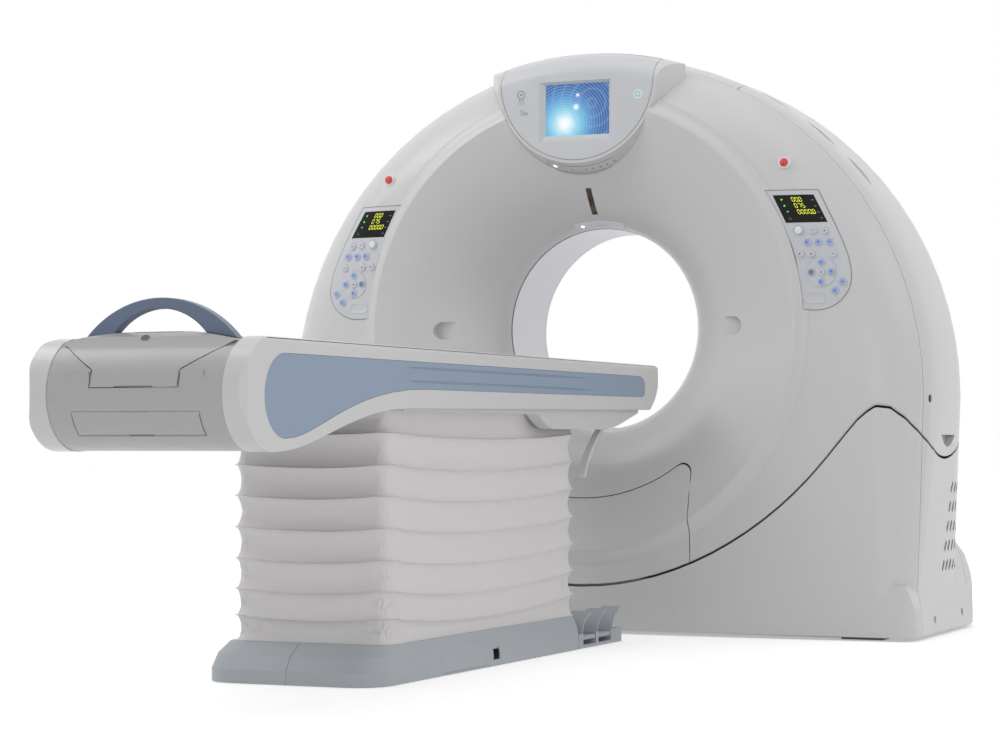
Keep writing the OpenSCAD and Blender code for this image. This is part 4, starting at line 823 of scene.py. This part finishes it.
def cover_screws():
    """Plugs over the fixing screws: dark dishes on the flanks, low domes on the front."""
    dishes = Batch()
    for s, side in zip(SIDES, ("left", "right")):
        flank = Surface("lower_side_cover_" + side)
        for y, z in SIDE_SCREWS:
            dishes.turned(*flank.from_side(s, y, z), DISH)
    dishes.piece("side_plugs", MAT["cap_grey"], "base")
    for node_name, x, z, body in FRONT_SCREWS:
        front = Surface(node_name)
        domes = Batch()
        for s in SIDES:
            domes.turned(*front.at(s * x, z), LOW_DOME)
        domes.piece("plugs_" + node_name, MAT["cover_plastic"], body)


def foot_end():
    """Painted shade: a dark oval for the latch hole in the tabletop's end, and dark lines just inside the
    end's and the door's edges.
    """
    end = Surface("tabletop_end", y0=BEYOND_FOOT_END)
    door = Surface("pocket_door", y0=BEYOND_FOOT_END)
    hole, edge_shade, door_edge_shade = Batch(), Batch(), Batch()
    # Painted shade: a flat dark oval laid on the end where the latch hole is
    oval = [(LATCH_HALF[0] * a, LATCH_HALF[1] * b) for a, b in ring(0, 0, 1, ROUND_POINTS)]
    hole.print_on(*end.at(*LATCH_AT), oval)
    hole.piece("latch_hole_shade", MAT["latch_shade"], "tabletop", False)
    # Painted shade: dark lines just inside the edges of the tabletop's end and the pocket door, where
    # shade falls in the seams
    outline = end.edge(*END_MIDDLE, reach=0.34, n=240, inset=0.0016)
    edge_shade.stroke(end, outline, width=0.0024, closed=True)
    edge_shade.piece("end_edge_shade", MAT["latch_shade"], "tabletop", False)
    outline = door.edge(*DOOR_MIDDLE, reach=0.30, n=240, inset=0.0014)
    door_edge_shade.stroke(door, outline, width=0.0018, closed=True)
    door_edge_shade.piece("pocket_edge_shade", MAT["latch_shade"], "pocket_door", False)


# ---------------------------------------------------------------- stage

# Strength of the world's light
HORIZON, ZENITH = 0.71, 0.46
FLOOR_GREY, FLOOR_LIFT, FLOOR_Z = 0.93, 0.42, -0.001
FLOOR_CORNERS = ((-30, -30), (30, -30), (30, 40), (-30, 40))
# Name, place, point that it faces, width, height and power of each lamp
LAMPS = (("top", (0.2, -1.2, 5.5), (0, -1.0, 0), 5.0, 4.0, 37),
         ("upper_left", (-3.0, -2.6, 4.2), (0.2, 0.2, 1.0), 3.0, 2.0, 44),
         ("right", (5.0, 0.2, 3.6), (0.6, -0.2, 1.0), 3.0, 2.4, 17),
         ("low_right", (3.2, -5.0, 1.2), (0, -0.6, 0.7), 2.5, 1.6, 10))
CAMERA_AT, LENS, SENSOR = (3.307, -8.600, 0.650), 93.6, 36
CAMERA_LOOK = (-0.4015, 0.9159, math.tan(math.radians(1.67)))


def seen_as_backdrop(tree):
    """1 where a camera, a reflection or glass looks at the surface, and otherwise 0."""
    path = node(tree, "ShaderNodeLightPath")
    seen = path.outputs["Is Camera Ray"]
    for key in ("Is Glossy Ray", "Is Transmission Ray"):
        seen = maths(tree, "MAXIMUM", seen, path.outputs[key])
    return seen


def seen_white(name, grey, lift):
    """A stage surface that a camera, a reflection or glass sees as white, and that keeps its shadow."""
    material, tree, shader = new_material(name)
    settings(shader, Base_Color=(grey, grey, grey, 1), Roughness=0.6, Emission_Color=WHITE)
    strength = maths(tree, "MULTIPLY", seen_as_backdrop(tree), lift)
    tree.links.new(strength, shader.inputs["Emission Strength"])
    return material


def world():
    """Soft light that fades from the horizon up, and that looks plain white."""
    studio = bpy.data.worlds.new("studio")
    bpy.context.scene.world = studio
    studio.use_nodes = True
    tree = studio.node_tree
    coords = node(tree, "ShaderNodeTexCoord")
    split = node(tree, "ShaderNodeSeparateXYZ")
    tree.links.new(coords.outputs["Generated"], split.inputs["Vector"])
    pick = node(tree, "ShaderNodeMix", data_type="FLOAT")
    pick.inputs[3].default_value = 1.0
    tree.links.new(seen_as_backdrop(tree), pick.inputs[0])
    tree.links.new(ranged(tree, split.outputs["Z"], HORIZON, ZENITH), pick.inputs[2])
    background = settings(tree.nodes["Background"], Color=WHITE)
    tree.links.new(pick.outputs[0], background.inputs["Strength"])


def add_object(name, data, at):
    """A new object of the stage at a place."""
    obj = bpy.data.objects.new(name, data)
    bpy.context.scene.collection.objects.link(obj)
    obj.location = at
    return obj


def facing(direction):
    """The rotation of a lamp or a camera that looks along a direction."""
    return Vector(direction).to_track_quat("-Z", "Y").to_euler()


def stage():
    """The world, the floor, the lamps and the camera."""
    world()
    mesh = bpy.data.meshes.new("floor")
    mesh.from_pydata([(x, y, FLOOR_Z) for x, y in FLOOR_CORNERS], [], [(0, 1, 2, 3)])
    mesh.materials.append(seen_white("floor_white", FLOOR_GREY, FLOOR_LIFT))
    add_object("floor", mesh, (0, 0, 0))

    for name, at, to, width, height, power in LAMPS:
        lamp = bpy.data.lights.new(name, "AREA")
        lamp.shape = "RECTANGLE"
        lamp.size, lamp.size_y, lamp.energy = width, height, power
        add_object(name, lamp, at).rotation_euler = facing(Vector(to) - Vector(at))

    cam = bpy.data.cameras.new("camera")
    cam.lens, cam.sensor_width, cam.sensor_fit = LENS, SENSOR, "HORIZONTAL"
    cam.clip_end = 120
    camera = add_object("camera", cam, CAMERA_AT)
    camera.rotation_euler = facing(CAMERA_LOOK)
    bpy.context.scene.camera = camera
    bpy.context.scene.view_settings.view_transform = "Standard"


shade_nodes()
bellows()
key_caps()
readouts()
display_signs()
display_back()
bore_strip()
panel_trim()
cover_screws()
foot_end()
stage()
